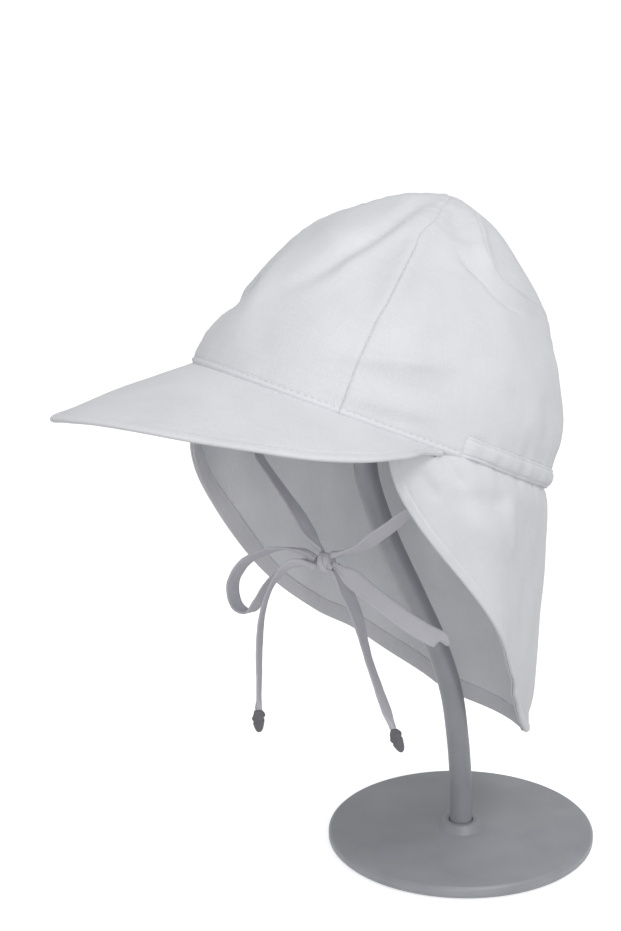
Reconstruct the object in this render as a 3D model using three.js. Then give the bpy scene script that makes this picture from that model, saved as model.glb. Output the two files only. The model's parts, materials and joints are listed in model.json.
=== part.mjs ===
// Child's legionnaire cap on a plain display stand: four-panel crown, stitched peak, gathered back band,
// long neck flap with a turned hem, and two chin ties knotted in a bow below the rim.
// Millimetres. X is the wearer's left, the peak points to -Y, Z is up. The origin is the centre of the
// stand base's underside, on the floor. Most shapes are first given in the hat's own frame, which leans
// back by TILT: across (wearer's left), forward (towards the peak) and rise (along the hat's axis),
// measured from the centre of the rim.
import * as THREE from "three";

// Rim and crown
const RIM_HALF_LENGTH = 86;
const RIM_HALF_WIDTH = 73;
const CROWN_HEIGHT = 102;
const TILT = THREE.MathUtils.degToRad(27.3);
const CROWN_WALL = 1.5;
const GAP = 0.3;

// Peak
const PEAK_CENTRE = 70;
const PEAK_RADIUS = 77.5;
const PEAK_THICK = 1.8;
const PEAK_DROP = 41.5;
const PEAK_END = 68;
const PEAK_SPREAD = 118;

// Gathered band and neck flap
const BAND_HEIGHT = 8.6;
const BAND_THICK = 2.6;
const BAND_STAND = 0.4;
const BAND_BULGE = 1.3;
const GATHER_DEPTH = 0.35;
const BAND_GATHERS = 27;
const FOOT_LEAD = 3;
const FLAP_LENGTH = 127;
const FLAP_THICK = 1.2;
const FULLNESS = 7;
const FULLNESS_REACH = 12;
const FOLD_DEPTH = 5;
const HEM_WIDTH = 8;
const HEM_THICK = 2;

// Ties and bow
const TIE_WIDTH = 8;
const TIE_THICK = 1.1;
const KNOT_RADIUS = 4.4;
const PINCH_WIDTH = 2.4;
const PINCH_LENGTH = 14;
const BOW_TURN = THREE.MathUtils.degToRad(15);
const KNOT_FORWARD = 26;
const KNOT_DROP = 54.8;
const BOW_REACH = 60;
const TAIL_END_LENGTH = 10.6;
const TAIL_END_WIDTH = 5;

// Stand
const RIM_ABOVE_FLOOR = 212;
const STEM_RADIUS = 5;
const STEM_SECTIONS = 32;
const BASE_RADIUS = 60;
const BASE_THICK = 6;
const BASE_BEHIND_RIM = 57;
const BASE_EDGE = 1.5;
const SOCKET_DEPTH = 4;
const SOCKET_WALL = 3;
const SOCKET_RISE = 84.3;
const REST_RIM = 2.5;
const REST_SHARE = 0.3;
const REST_CLEAR = 0.9;

// Crown profile: height and radius as shares of the crown's height and the rim's radius
const PROFILE = [
  [0, 1],
  [0.11, 0.997],
  [0.2, 0.98],
  [0.3, 0.937],
  [0.42, 0.868],
  [0.55, 0.775],
  [0.7, 0.637],
  [0.83, 0.457],
  [0.94, 0.25],
  [1, 0.014],
];

// Seam between a side panel and the back panel: height share against angle from the front
const BACK_SEAM = {
  columns: ["height", "angle"],
  rows: [
    [0, 145],
    [0.5, 143],
    [0.62, 137],
    [0.68, 120],
    [0.74, 101],
    [0.82, 86],
    [1, 81],
  ],
};

// Seam between the front panel and a side panel
const FRONT_SEAM = {
  columns: ["height", "angle"],
  rows: [
    [0, 39],
    [0.4, 38],
    [0.8, 38],
    [1, 40],
  ],
};

// Peak edge: its drop below the rim's plane as a share of PEAK_DROP, against the angle round the peak's centre
const PEAK_EDGE = {
  columns: ["angle", "drop"],
  rows: [
    [-122, 0.024],
    [-98, 0.361],
    [-78, 0.699],
    [-58, 0.94],
    [-30, 1],
    [-15, 0.949],
    [0, 0.867],
    [13, 0.8],
    [33, 0.696],
    [49, 0.595],
    [64, 0.501],
    [80, 0.371],
    [98, 0.198],
    [122, 0.014],
  ],
};

// Hem line of the flap: angle from the front at the rim, and drop below the rim as a share of FLAP_LENGTH
const HEM_LINE = [
  [52.2, 0.063],
  [55, 0.173],
  [65, 0.315],
  [80, 0.48],
  [95, 0.685],
  [110, 0.756],
  [125, 0.768],
  [140, 0.811],
  [160, 0.902],
  [180, 1],
];

// Drape of the flap: outward slope of the cloth and its fullness under the band as a share of FULLNESS
const DRAPE = {
  columns: ["angle", "slope", "fullness"],
  rows: [
    [50, 0.17, -0.357],
    [65, 0.165, 0.286],
    [80, 0.15, 1],
    [95, 0.07, 0.357],
    [110, -0.03, -0.257],
    [130, -0.085, -0.286],
    [155, -0.035, 0.571],
    [180, 0.1, 0.671],
  ],
};

// Soft folds of the flap: angle, half width in degrees and depth inwards as a share of FOLD_DEPTH
const FLAP_FOLDS = [
  [-162, 8, 0.32],
  [-128, 8, -0.32],
  [-106, 7, 0.28],
  [-60, 11, -1],
  [74, 6, 0.24],
  [166, 8, 0.32],
];

// Crown dents: from (angle, height share) to (angle, height share), half width and depth as shares of
// CROWN_HEIGHT
const DENTS = [
  { from: [-52, 0.2], to: [-34, 0.34], width: 0.137, depth: 0.0539 },
  { from: [-20, 0.62], to: [12, 0.5], width: 0.088, depth: 0.0147 },
  { from: [-5, 0.86], to: [20, 0.66], width: 0.078, depth: 0.0118 },
  { from: [86, 0.72], to: [128, 0.56], width: 0.059, depth: 0.0157 },
  { from: [52, 0.2], to: [96, 0.2], width: 0.078, depth: 0.0127 },
  { from: [140, 0.16], to: [220, 0.16], width: 0.078, depth: 0.0147 },
  { from: [-62, 0.45], to: [-96, 0.3], width: 0.118, depth: 0.0157 },
];

// Stand stem from the rest down to the base, in the plane X = 0: behind and above the rim's centre as
// shares of RIM_ABOVE_FLOOR
const STEM_PATH = [
  [0.1807, 0.35],
  [0.1557, 0.3019],
  [0.0991, 0.217],
  [0.0377, 0.1321],
  [-0.0047, 0.0377],
  [-0.0175, -0.0769],
  [0.0307, -0.2193],
  [0.1288, -0.4094],
  [0.1821, -0.5137],
  [0.2325, -0.6425],
  [0.2557, -0.7642],
  [0.2651, -0.8491],
  [0.2689, -0.9245],
  [0.2689, -0.9656],
];

// Straps of the bow: along the bow's plane from the knot, forward of it and up, as shares of BOW_REACH, and
// twist in degrees
const BOW = {
  bow_loop_left: [
    [-0.09, 0.023, 0.013, 10],
    [-0.2, 0, 0.04, 15],
    [-0.367, 0.008, 0.027, 20],
    [-0.55, 0.008, -0.05, 25],
    [-0.717, 0, -0.183, 20],
    [-0.808, -0.017, -0.367, 10],
    [-0.775, -0.025, -0.517, 0],
    [-0.675, -0.033, -0.542, -10],
    [-0.592, -0.033, -0.433, -10],
    [-0.508, -0.033, -0.275, 0],
    [-0.383, -0.037, -0.133, 10],
    [-0.233, -0.043, -0.07, 10],
    [-0.087, -0.037, -0.04, 10],
  ],
  bow_loop_right: [
    [0.093, 0.027, 0.01, 50],
    [0.233, 0.077, -0.027, 60],
    [0.417, 0.1, -0.103, 66],
    [0.6, 0.108, -0.187, 66],
    [0.783, 0.092, -0.27, 62],
    [0.933, 0.05, -0.343, 50],
    [0.992, 0, -0.39, 30],
    [0.942, -0.05, -0.41, 40],
    [0.767, -0.07, -0.367, 58],
    [0.567, -0.07, -0.307, 62],
    [0.358, -0.067, -0.217, 60],
    [0.183, -0.05, -0.113, 50],
    [0.09, -0.037, -0.037, 40],
  ],
  tail_left: [
    [-0.06, 0.073, -0.04, 40],
    [-0.167, 0.108, 0, 40],
    [-0.287, 0.125, -0.09, 10],
    [-0.382, 0.125, -0.232, -10],
    [-0.45, 0.125, -0.417, -15],
    [-0.483, 0.125, -0.667, -15],
    [-0.488, 0.125, -0.933, -20],
    [-0.492, 0.125, -1.205, -25],
  ],
  tail_right: [
    [0.023, -0.057, -0.087, 10],
    [0.053, -0.117, -0.192, 10],
    [0.107, -0.15, -0.317, 5],
    [0.177, -0.15, -0.458, 0],
    [0.22, -0.15, -0.6, -10],
    [0.282, -0.15, -0.783, -15],
    [0.373, -0.15, -1, -10],
    [0.473, -0.15, -1.223, -5],
  ],
};

// Ties from the rim to the knot: across as a share of RIM_HALF_WIDTH, behind as a share of KNOT_FORWARD,
// above as a share of KNOT_DROP, and twist in degrees
const TIES = {
  tie_left: [
    [0.938, -0.385, 0.217, 25],
    [0.938, -0.5, 0.109, 25],
    [0.908, -0.558, -0.036, 24],
    [0.822, -0.608, -0.172, 20],
    [0.699, -0.665, -0.301, 20],
    [0.575, -0.727, -0.423, 30],
    [0.466, -0.781, -0.551, 35],
    [0.348, -0.838, -0.688, 40],
    [0.229, -0.896, -0.821, 30],
    [0.052, -0.977, -0.912, 25],
  ],
  tie_right: [
    [-0.938, -0.385, 0.217, 5],
    [-0.938, -0.5, 0.109, 5],
    [-0.923, -0.55, -0.055, 0],
    [-0.868, -0.588, -0.237, -8],
    [-0.747, -0.646, -0.412, -15],
    [-0.581, -0.727, -0.536, -15],
    [-0.412, -0.808, -0.646, -10],
    [-0.277, -0.869, -0.748, 0],
    [-0.159, -0.927, -0.858, 5],
    [-0.052, -0.977, -0.912, 10],
  ],
};

const UP = new THREE.Vector3(0, 0, 1);
const BOW_ALONG = new THREE.Vector3(Math.cos(BOW_TURN), Math.sin(BOW_TURN), 0);
const BOW_FORWARD = new THREE.Vector3(Math.sin(BOW_TURN), -Math.cos(BOW_TURN), 0);
const KNOT = new THREE.Vector3(0, -KNOT_FORWARD, -KNOT_DROP);
const group = new THREE.Group();

// Point of the hat's frame in the rim-centred frame
function hat(across, forward, rise) {
  const c = Math.cos(TILT);
  const s = Math.sin(TILT);
  return new THREE.Vector3(across, -forward * c + rise * s, forward * s + rise * c);
}

// Value of a table's column at x, by a smooth curve through its rows
function read(table, column, x) {
  const { columns, rows } = table;
  const k = columns.indexOf(column);
  const last = rows.length - 1;
  if (x <= rows[0][0]) return rows[0][k];
  if (x >= rows[last][0]) return rows[last][k];
  const i = rows.findIndex((row) => row[0] > x) - 1;
  const slope = (a, b) => (rows[b][k] - rows[a][k]) / (rows[b][0] - rows[a][0]);
  const tangent = (j) => {
    if (j === 0 || j === last) return 0;
    const before = slope(j - 1, j);
    const after = slope(j, j + 1);
    return before * after <= 0 ? 0 : (2 * before * after) / (before + after);
  };
  const span = rows[i + 1][0] - rows[i][0];
  const t = (x - rows[i][0]) / span;
  const rest = 1 - t;
  return (
    rows[i][k] * (1 + 2 * t) * rest * rest +
    tangent(i) * span * t * rest * rest +
    rows[i + 1][k] * t * t * (3 - 2 * t) -
    tangent(i + 1) * span * t * t * rest
  );
}

function smoothStep(from, to, x) {
  const t = THREE.MathUtils.clamp((x - from) / (to - from), 0, 1);
  return t * t * (3 - 2 * t);
}

// Adds a closed body, its faces turned outwards
function add(name, points, faces) {
  const volume = faces.reduce((sum, [a, b, c]) => {
    const cross = new THREE.Vector3().crossVectors(points[b], points[c]);
    return sum + points[a].dot(cross);
  }, 0);
  const index = faces.flatMap(([a, b, c]) => (volume < 0 ? [a, c, b] : [a, b, c]));
  const geometry = new THREE.BufferGeometry();
  geometry.setAttribute(
    "position",
    new THREE.Float32BufferAttribute(
      points.flatMap((p) => [p.x, p.y, p.z]),
      3,
    ),
  );
  geometry.setIndex(index);
  const mesh = new THREE.Mesh(geometry);
  mesh.name = name;
  mesh.position.set(0, -BASE_BEHIND_RIM, RIM_ABOVE_FLOOR);
  group.add(mesh);
}

// Cloth piece: its outer face is surface(u, v), with u to the wearer's left and v upwards or inwards,
// and its inner face lies one thickness inside it, along normalAt(u, v) or the normal of its own grid
function cloth(name, surface, columns, rows, thickness, normalAt) {
  const outer = [];
  for (let j = 0; j <= rows; j++)
    for (let i = 0; i <= columns; i++) outer.push(surface(i / columns, j / rows));
  const at = (i, j) => j * (columns + 1) + i;
  const clampAt = (i, j) =>
    outer[at(THREE.MathUtils.clamp(i, 0, columns), THREE.MathUtils.clamp(j, 0, rows))];
  const inner = [];
  for (let j = 0; j <= rows; j++)
    for (let i = 0; i <= columns; i++) {
      const alongU = clampAt(i + 1, j).clone().sub(clampAt(i - 1, j));
      const alongV = clampAt(i, j + 1).clone().sub(clampAt(i, j - 1));
      const normal = normalAt
        ? normalAt(i / columns, j / rows)
        : alongU.cross(alongV).normalize();
      inner.push(clampAt(i, j).clone().addScaledVector(normal, -thickness));
    }
  const count = outer.length;
  const faces = [];
  const quad = (a, b, c, d) => faces.push([a, b, c], [a, c, d]);
  for (let j = 0; j < rows; j++)
    for (let i = 0; i < columns; i++) {
      quad(at(i, j), at(i + 1, j), at(i + 1, j + 1), at(i, j + 1));
      quad(count + at(i, j), count + at(i, j + 1), count + at(i + 1, j + 1), count + at(i + 1, j));
    }
  for (let i = 0; i < columns; i++) {
    quad(at(i + 1, 0), at(i, 0), count + at(i, 0), count + at(i + 1, 0));
    quad(at(i, rows), at(i + 1, rows), count + at(i + 1, rows), count + at(i, rows));
  }
  for (let j = 0; j < rows; j++) {
    quad(at(0, j), at(0, j + 1), count + at(0, j + 1), count + at(0, j));
    quad(at(columns, j + 1), at(columns, j), count + at(columns, j), count + at(columns, j + 1));
  }
  add(name, outer.concat(inner), faces);
}

// Body swept along rings of points, closed by a flat end at each side
function sweep(name, rings) {
  const sides = rings[0].length;
  const faces = [];
  for (let j = 0; j + 1 < rings.length; j++)
    for (let i = 0; i < sides; i++) {
      const a = j * sides + i;
      const b = j * sides + ((i + 1) % sides);
      faces.push([a, b, b + sides], [a, b + sides, a + sides]);
    }
  const end = (rings.length - 1) * sides;
  for (let i = 1; i + 1 < sides; i++) {
    faces.push([0, i + 1, i]);
    faces.push([end, end + i, end + i + 1]);
  }
  add(name, rings.flat(), faces);
}

// Flat strap along points with a twist each, its width turned from the bow's forward direction and
// pinched at the ends that go into the knot
function strap(name, points, twists, sections, pinchStart, pinchEnd) {
  const curve = new THREE.CatmullRomCurve3(points, false, "centripetal");
  const turns = new THREE.CatmullRomCurve3(
    twists.map((t) => new THREE.Vector3(t, 0, 0)),
    false,
    "catmullrom",
  );
  const rings = [];
  for (let j = 0; j <= sections; j++) {
    const t = j / sections;
    const centre = curve.getPoint(t);
    const tangent = curve.getTangent(t);
    const turn = THREE.MathUtils.degToRad(turns.getPoint(t).x);
    const sideways = new THREE.Vector3().crossVectors(tangent, BOW_FORWARD).normalize();
    const wide = BOW_FORWARD.clone().multiplyScalar(Math.cos(turn));
    wide.addScaledVector(sideways, Math.sin(turn));
    const thick = new THREE.Vector3().crossVectors(tangent, wide).normalize();
    wide.crossVectors(thick, tangent).normalize();
    const start = pinchStart ? centre.distanceTo(points[0]) : PINCH_LENGTH;
    const end = pinchEnd ? centre.distanceTo(points[points.length - 1]) : PINCH_LENGTH;
    const share = smoothStep(0, PINCH_LENGTH, Math.min(start, end));
    const width = PINCH_WIDTH + (TIE_WIDTH - PINCH_WIDTH) * share;
    const corner = (w, h) =>
      centre
        .clone()
        .addScaledVector(wide, (w * width) / 2)
        .addScaledVector(thick, (h * TIE_THICK) / 2);
    rings.push([corner(-1, -1), corner(1, -1), corner(1, 1), corner(-1, 1)]);
  }
  sweep(name, rings);
}

// Egg-shaped body about a centre, for the knot and the knotted tie ends
function egg(name, centre, radii, axis) {
  const turn = new THREE.Quaternion().setFromUnitVectors(UP, axis.clone().normalize());
  const sphere = new THREE.SphereGeometry(1, 12, 8);
  sphere.rotateX(Math.PI / 2);
  const place = new THREE.Matrix4().compose(centre, turn, radii);
  sphere.applyMatrix4(place);
  sphere.translate(0, -BASE_BEHIND_RIM, RIM_ABOVE_FLOOR);
  const mesh = new THREE.Mesh(sphere);
  mesh.name = name;
  group.add(mesh);
}

// Crown
const profile = new THREE.SplineCurve(PROFILE.map(([h, r]) => new THREE.Vector2(h, r)));

// Height of the band's top above the rim's plane, at an angle from the front
function bandTop(angle) {
  return BAND_HEIGHT * smoothStep(PEAK_END + 3, PEAK_END + 15, angle);
}

function crownPoint(angle, share) {
  const { x: height, y: radius } = profile.getPointAt(share);
  const a = THREE.MathUtils.degToRad(angle);
  return hat(
    RIM_HALF_WIDTH * radius * Math.sin(a),
    RIM_HALF_LENGTH * radius * Math.cos(a),
    CROWN_HEIGHT * height,
  );
}

// Share along the profile at which a height share is reached
function profileShare(height) {
  let low = 0;
  let high = 1;
  for (let k = 0; k < 24; k++) {
    const middle = (low + high) / 2;
    if (profile.getPointAt(middle).x < height) low = middle;
    else high = middle;
  }
  return low;
}

const dents = DENTS.map((dent) => ({
  ...dent,
  line: new THREE.Line3(
    crownPoint(dent.from[0], profileShare(dent.from[1])),
    crownPoint(dent.to[0], profileShare(dent.to[1])),
  ),
}));

// Crown surface with its dents
function dentedCrown(angle, share) {
  const point = crownPoint(angle, share);
  const axis = hat(0, 0, CROWN_HEIGHT * 0.35);
  const inward = axis.sub(point).normalize();
  const nearest = new THREE.Vector3();
  for (const { line, width, depth } of dents) {
    line.closestPointToPoint(point, true, nearest);
    const away = nearest.distanceTo(point) / (width * CROWN_HEIGHT);
    point.addScaledVector(inward, depth * CROWN_HEIGHT * Math.exp(-away * away));
  }
  return point;
}

// Outward normal of the crown surface
function crownNormal(angle, share) {
  const turn = dentedCrown(angle + 1, share).sub(dentedCrown(angle - 1, share));
  const above = dentedCrown(angle, Math.min(share + 0.01, 1));
  const climb = above.sub(dentedCrown(angle, Math.max(share - 0.01, 0)));
  return turn.cross(climb).normalize();
}

// Panel between two seam tables, a small gap clear of each seam
function panel(name, seamFrom, seamTo, columns) {
  const spot = (u, v) => {
    const middle = seamFrom(0) + (seamTo(0) - seamFrom(0)) * u;
    const side = middle > 180 ? 360 - middle : Math.abs(middle);
    const foot = profileShare((bandTop(side + FOOT_LEAD) + GAP) / CROWN_HEIGHT);
    const share = foot + (1 - foot) * v;
    const { x: height, y: radius } = profile.getPointAt(share);
    const clear = THREE.MathUtils.radToDeg(GAP / 2 / (RIM_HALF_WIDTH * radius));
    const from = seamFrom(height) + Math.min(clear, 24);
    const to = seamTo(height) - Math.min(clear, 24);
    return [from + (to - from) * u, share];
  };
  cloth(
    name,
    (u, v) => dentedCrown(...spot(u, v)),
    columns,
    13,
    CROWN_WALL,
    (u, v) => crownNormal(...spot(u, v)),
  );
}
const frontSeam = (height) => read(FRONT_SEAM, "angle", height);
const backSeam = (height) => read(BACK_SEAM, "angle", height);
panel("crown_front", (h) => -frontSeam(h), frontSeam, 10);
panel("crown_left", frontSeam, backSeam, 16);
panel("crown_back", backSeam, (h) => 360 - backSeam(h), 10);
panel("crown_right", (h) => 360 - backSeam(h), (h) => 360 - frontSeam(h), 16);

// Peak, its inner edge under the crown's edge
function peakPoint(u, v) {
  const side = 2 * u - 1;
  const seam = THREE.MathUtils.degToRad(side * (PEAK_END - 1));
  const round = side * PEAK_SPREAD;
  const a = THREE.MathUtils.degToRad(round);
  const inner = 1 - CROWN_WALL / RIM_HALF_WIDTH;
  const acrossIn = RIM_HALF_WIDTH * inner * Math.sin(seam);
  const forwardIn = RIM_HALF_LENGTH * inner * Math.cos(seam);
  const acrossOut = PEAK_RADIUS * Math.sin(a);
  const forwardOut = PEAK_CENTRE + PEAK_RADIUS * Math.cos(a);
  const drop = PEAK_DROP * read(PEAK_EDGE, "drop", round) * (0.86 * v + 0.14 * v * v);
  return hat(
    acrossIn + (acrossOut - acrossIn) * v,
    forwardIn + (forwardOut - forwardIn) * v,
    -drop,
  );
}
cloth("peak", (u, v) => peakPoint(u, 1 - v), 32, 6, PEAK_THICK);

// Gathered band round the back
const BAND_FROM = PEAK_END + 7;
const BAND_SPAN = 360 - 2 * BAND_FROM;
function bandPoint(u, v) {
  const angle = BAND_FROM + BAND_SPAN * u;
  const a = THREE.MathUtils.degToRad(angle);
  const top = bandTop(angle > 180 ? 360 - angle : angle);
  const full = top / BAND_HEIGHT;
  const gather = GATHER_DEPTH * Math.cos(2 * Math.PI * BAND_GATHERS * u);
  const out = BAND_STAND + full * (BAND_BULGE * Math.sin(Math.PI * v) + gather);
  return hat(
    (RIM_HALF_WIDTH + out) * Math.sin(a),
    (RIM_HALF_LENGTH + out) * Math.cos(a),
    top * v,
  );
}
cloth("back_band", bandPoint, BAND_GATHERS * 4, 2, BAND_THICK);

// Neck flap
const RIM_STEP = (Math.PI * (RIM_HALF_LENGTH + RIM_HALF_WIDTH)) / 360;
const hemLine = new THREE.SplineCurve(
  HEM_LINE.map(([angle, drop]) => new THREE.Vector2(angle * RIM_STEP, drop * FLAP_LENGTH)).concat(
    HEM_LINE.slice(0, -1)
      .reverse()
      .map(([angle, drop]) => new THREE.Vector2((360 - angle) * RIM_STEP, drop * FLAP_LENGTH)),
  ),
);

// Cloth of the flap at an angle from the front and a drop below the rim
function flapPoint(angle, drop) {
  const a = THREE.MathUtils.degToRad(angle);
  const side = angle > 180 ? 360 - angle : angle;
  const slope = read(DRAPE, "slope", side);
  const fullness = FULLNESS * read(DRAPE, "fullness", side);
  let out = slope * drop + fullness * (1 - Math.exp(-drop / FULLNESS_REACH));
  const signed = angle > 180 ? angle - 360 : angle;
  for (const [middle, width, depth] of FLAP_FOLDS) {
    const away = (signed - middle) / width;
    out -= FOLD_DEPTH * depth * Math.exp(-away * away) * smoothStep(0.04, 0.63, drop / FLAP_LENGTH);
  }
  const point = hat(RIM_HALF_WIDTH * Math.sin(a), RIM_HALF_LENGTH * Math.cos(a), 0);
  point.x += Math.sin(a) * out;
  point.y -= Math.cos(a) * out;
  point.z -= drop;
  return point;
}

// Point of the flap a given width inside its hem line
function insideHem(u, width) {
  const point = hemLine.getPointAt(u);
  const tangent = hemLine.getTangentAt(u);
  const angle = (point.x + tangent.y * width) / RIM_STEP;
  return { angle, drop: point.y - tangent.x * width };
}

function hemPoint(u, v) {
  const { angle, drop } = insideHem(u, HEM_WIDTH * (1 - v));
  return flapPoint(angle, drop);
}

const FLAP_FROM = 0.03;
function flapSurface(u, v) {
  const { angle, drop } = insideHem(FLAP_FROM + (1 - 2 * FLAP_FROM) * u, HEM_WIDTH + GAP);
  const side = angle > 180 ? 360 - angle : angle;
  const top = GAP + 2 * PEAK_THICK * (1 - smoothStep(PEAK_END, PEAK_END + 6, side));
  return flapPoint(angle, top + (drop - top) * v);
}
cloth("neck_flap", (u, v) => flapSurface(u, 1 - v), 50, 9, FLAP_THICK);
cloth("flap_hem", (u, v) => hemPoint(u, 1 - v), 66, 1, HEM_THICK);

// Ties and bow
for (const [name, rows] of Object.entries(TIES)) {
  const points = rows.map(
    ([across, behind, above]) =>
      new THREE.Vector3(across * RIM_HALF_WIDTH, behind * KNOT_FORWARD, above * KNOT_DROP),
  );
  points.push(atKnot(points.pop()));
  strap(
    name,
    points,
    rows.map((row) => row[3]),
    22,
    false,
    true,
  );
}

// Point on the knot's surface nearest a strap's end, a small gap clear
function atKnot(point) {
  const away = point.clone().sub(KNOT).setLength(KNOT_RADIUS + GAP);
  return KNOT.clone().add(away);
}

function bowPoint([along, forward, up]) {
  return KNOT.clone()
    .addScaledVector(BOW_ALONG, along * BOW_REACH)
    .addScaledVector(BOW_FORWARD, forward * BOW_REACH)
    .addScaledVector(UP, up * BOW_REACH);
}
for (const [name, rows] of Object.entries(BOW)) {
  const loop = name.startsWith("bow_loop");
  const points = rows.map(bowPoint);
  points[0] = atKnot(points[0]);
  if (loop) points.push(atKnot(points.pop()));
  strap(
    name,
    points,
    rows.map((row) => row[3]),
    loop ? 36 : 20,
    true,
    loop,
  );
}
egg("bow_knot", KNOT, new THREE.Vector3(1, 1, 1).multiplyScalar(KNOT_RADIUS), UP);

// Knotted ends of the tails
function tailEnd(name, rows) {
  const last = bowPoint(rows[rows.length - 1]);
  const before = bowPoint(rows[rows.length - 2]);
  const axis = last.clone().sub(before).normalize();
  const centre = last.clone().addScaledVector(axis, TAIL_END_LENGTH / 2 + GAP);
  const radii = new THREE.Vector3(TAIL_END_WIDTH, TAIL_END_WIDTH, TAIL_END_LENGTH);
  egg(name, centre, radii.divideScalar(2), axis);
}
tailEnd("tail_end_left", BOW.tail_left);
tailEnd("tail_end_right", BOW.tail_right);

// Stand stem, a round bar bent in the plane X = 0
const stemCurve = new THREE.CatmullRomCurve3(
  STEM_PATH.map(([behind, above]) => new THREE.Vector3(0, behind, above).multiplyScalar(RIM_ABOVE_FLOOR)),
  false,
  "centripetal",
);
const stemRings = [];
for (let j = 0; j <= STEM_SECTIONS; j++) {
  const centre = stemCurve.getPointAt(j / STEM_SECTIONS);
  const tangent = stemCurve.getTangentAt(j / STEM_SECTIONS);
  const across = new THREE.Vector3(1, 0, 0);
  const other = new THREE.Vector3().crossVectors(tangent, across).normalize();
  const ring = [];
  for (let i = 0; i < 16; i++) {
    const a = (i * Math.PI) / 8;
    ring.push(
      centre
        .clone()
        .addScaledVector(across, STEM_RADIUS * Math.cos(a))
        .addScaledVector(other, STEM_RADIUS * Math.sin(a)),
    );
  }
  stemRings.push(ring);
}
sweep("stand_stem", stemRings);

// Lathe body about the Z axis from its half section, given from the axis at the bottom to the axis at the top
function lathe(name, section, segments, place) {
  const geometry = new THREE.LatheGeometry(
    section.map(([r, z]) => new THREE.Vector2(r, z)),
    segments,
  );
  geometry.rotateX(Math.PI / 2);
  place(geometry);
  const mesh = new THREE.Mesh(geometry);
  mesh.name = name;
  group.add(mesh);
}

// Stand base, a round plate with a raised socket for the stem's foot
const hole = STEM_RADIUS + GAP;
lathe(
  "stand_base",
  [
    [0, 0],
    [BASE_RADIUS - BASE_EDGE, 0],
    [BASE_RADIUS, BASE_EDGE],
    [BASE_RADIUS, BASE_THICK - BASE_EDGE],
    [BASE_RADIUS - BASE_EDGE, BASE_THICK],
    [hole + SOCKET_WALL + BASE_EDGE, BASE_THICK],
    [hole + SOCKET_WALL, BASE_THICK + SOCKET_DEPTH],
    [hole, BASE_THICK + SOCKET_DEPTH],
    [hole, BASE_THICK + GAP],
    [0, BASE_THICK + GAP],
  ],
  40,
  () => {},
);

// Rest inside the top of the crown, a shallow dome with a socket for the stem's top
const restTop = [];
for (let k = 0; k <= 5; k++) {
  const radius = REST_SHARE * (1 - k / 5);
  let share = 1;
  while (share > 0 && profile.getPointAt(share).y < radius) share -= 0.002;
  const rise = CROWN_HEIGHT * profile.getPointAt(share).x - CROWN_WALL - REST_CLEAR - 1.5 * radius;
  restTop.push([k === 5 ? 0 : radius, rise]);
}
const restEdge = restTop[0][1];
lathe(
  "stand_rest",
  [
    [0, SOCKET_RISE],
    [(hole + GAP) / RIM_HALF_WIDTH, SOCKET_RISE],
    [(hole + GAP) / RIM_HALF_WIDTH, SOCKET_RISE - SOCKET_DEPTH],
    [(hole + SOCKET_WALL) / RIM_HALF_WIDTH, SOCKET_RISE - SOCKET_DEPTH],
    [(hole + SOCKET_WALL) / RIM_HALF_WIDTH, restEdge - REST_RIM - 1],
    [REST_SHARE, restEdge - REST_RIM],
    ...restTop,
  ],
  32,
  (geometry) => {
    geometry.scale(RIM_HALF_WIDTH, RIM_HALF_LENGTH, 1);
    geometry.rotateX(-TILT);
    geometry.translate(0, -BASE_BEHIND_RIM, RIM_ABOVE_FLOOR);
  },
);

export default group;
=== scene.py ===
# %% [markdown]
# # A child's legionnaire cap on its display stand
# The cap is white woven cotton: a crown of four panels, a stitched peak, a gathered band round the back,
# a long neck flap and two ties knotted in a bow. A bent grey stem on a round base holds it up. This lesson
# builds each piece over the imported solids, which give the size and the place of everything, and then dresses
# the pieces in woven cloth and painted metal. The model comes in first, so that later cells can put their
# pieces in place of its parts.

# %% Load the imported model
import json
import math

import bpy
import numpy as np
from mathutils import Matrix, Vector

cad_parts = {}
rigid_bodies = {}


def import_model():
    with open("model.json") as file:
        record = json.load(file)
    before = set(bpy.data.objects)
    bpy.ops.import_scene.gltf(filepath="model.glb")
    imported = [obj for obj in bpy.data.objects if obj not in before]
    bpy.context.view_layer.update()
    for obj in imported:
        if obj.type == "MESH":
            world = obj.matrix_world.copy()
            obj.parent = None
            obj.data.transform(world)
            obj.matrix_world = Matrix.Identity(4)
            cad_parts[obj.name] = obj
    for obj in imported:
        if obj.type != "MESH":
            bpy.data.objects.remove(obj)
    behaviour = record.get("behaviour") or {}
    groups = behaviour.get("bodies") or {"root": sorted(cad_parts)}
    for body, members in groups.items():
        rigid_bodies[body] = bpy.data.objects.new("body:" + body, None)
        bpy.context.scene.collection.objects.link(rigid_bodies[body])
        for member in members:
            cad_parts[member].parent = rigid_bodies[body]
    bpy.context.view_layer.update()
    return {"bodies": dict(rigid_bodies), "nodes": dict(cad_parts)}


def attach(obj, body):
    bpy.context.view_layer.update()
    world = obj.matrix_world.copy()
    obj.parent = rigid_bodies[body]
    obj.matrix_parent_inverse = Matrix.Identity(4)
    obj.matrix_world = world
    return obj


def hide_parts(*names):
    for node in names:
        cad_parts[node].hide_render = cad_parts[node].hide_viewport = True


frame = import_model()
BODY = next(iter(frame["bodies"]))
print("nodes in the packed model:", len(frame["nodes"]), "on body", BODY)

# %% [markdown]
# ## The camera
# The photograph looks at the cap from the wearer's left and front, a little from above. A long lens keeps
# the shapes nearly parallel, as a product photograph does. The camera could be aimed with a tracking
# constraint, but its axes written out as a matrix give the same view on every run.

# %% Camera at the photograph's angle
MM = 0.001
RIM_CENTRE = np.array([0.0, -57.0, 212.0])
VIEW_AZIMUTH = math.radians(48)
VIEW_ELEVATION = math.radians(19.9)
VIEW_DISTANCE = 1300.0
VIEW_ASIDE = (-25.89, -16.84)
LENS = 119.63

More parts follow.
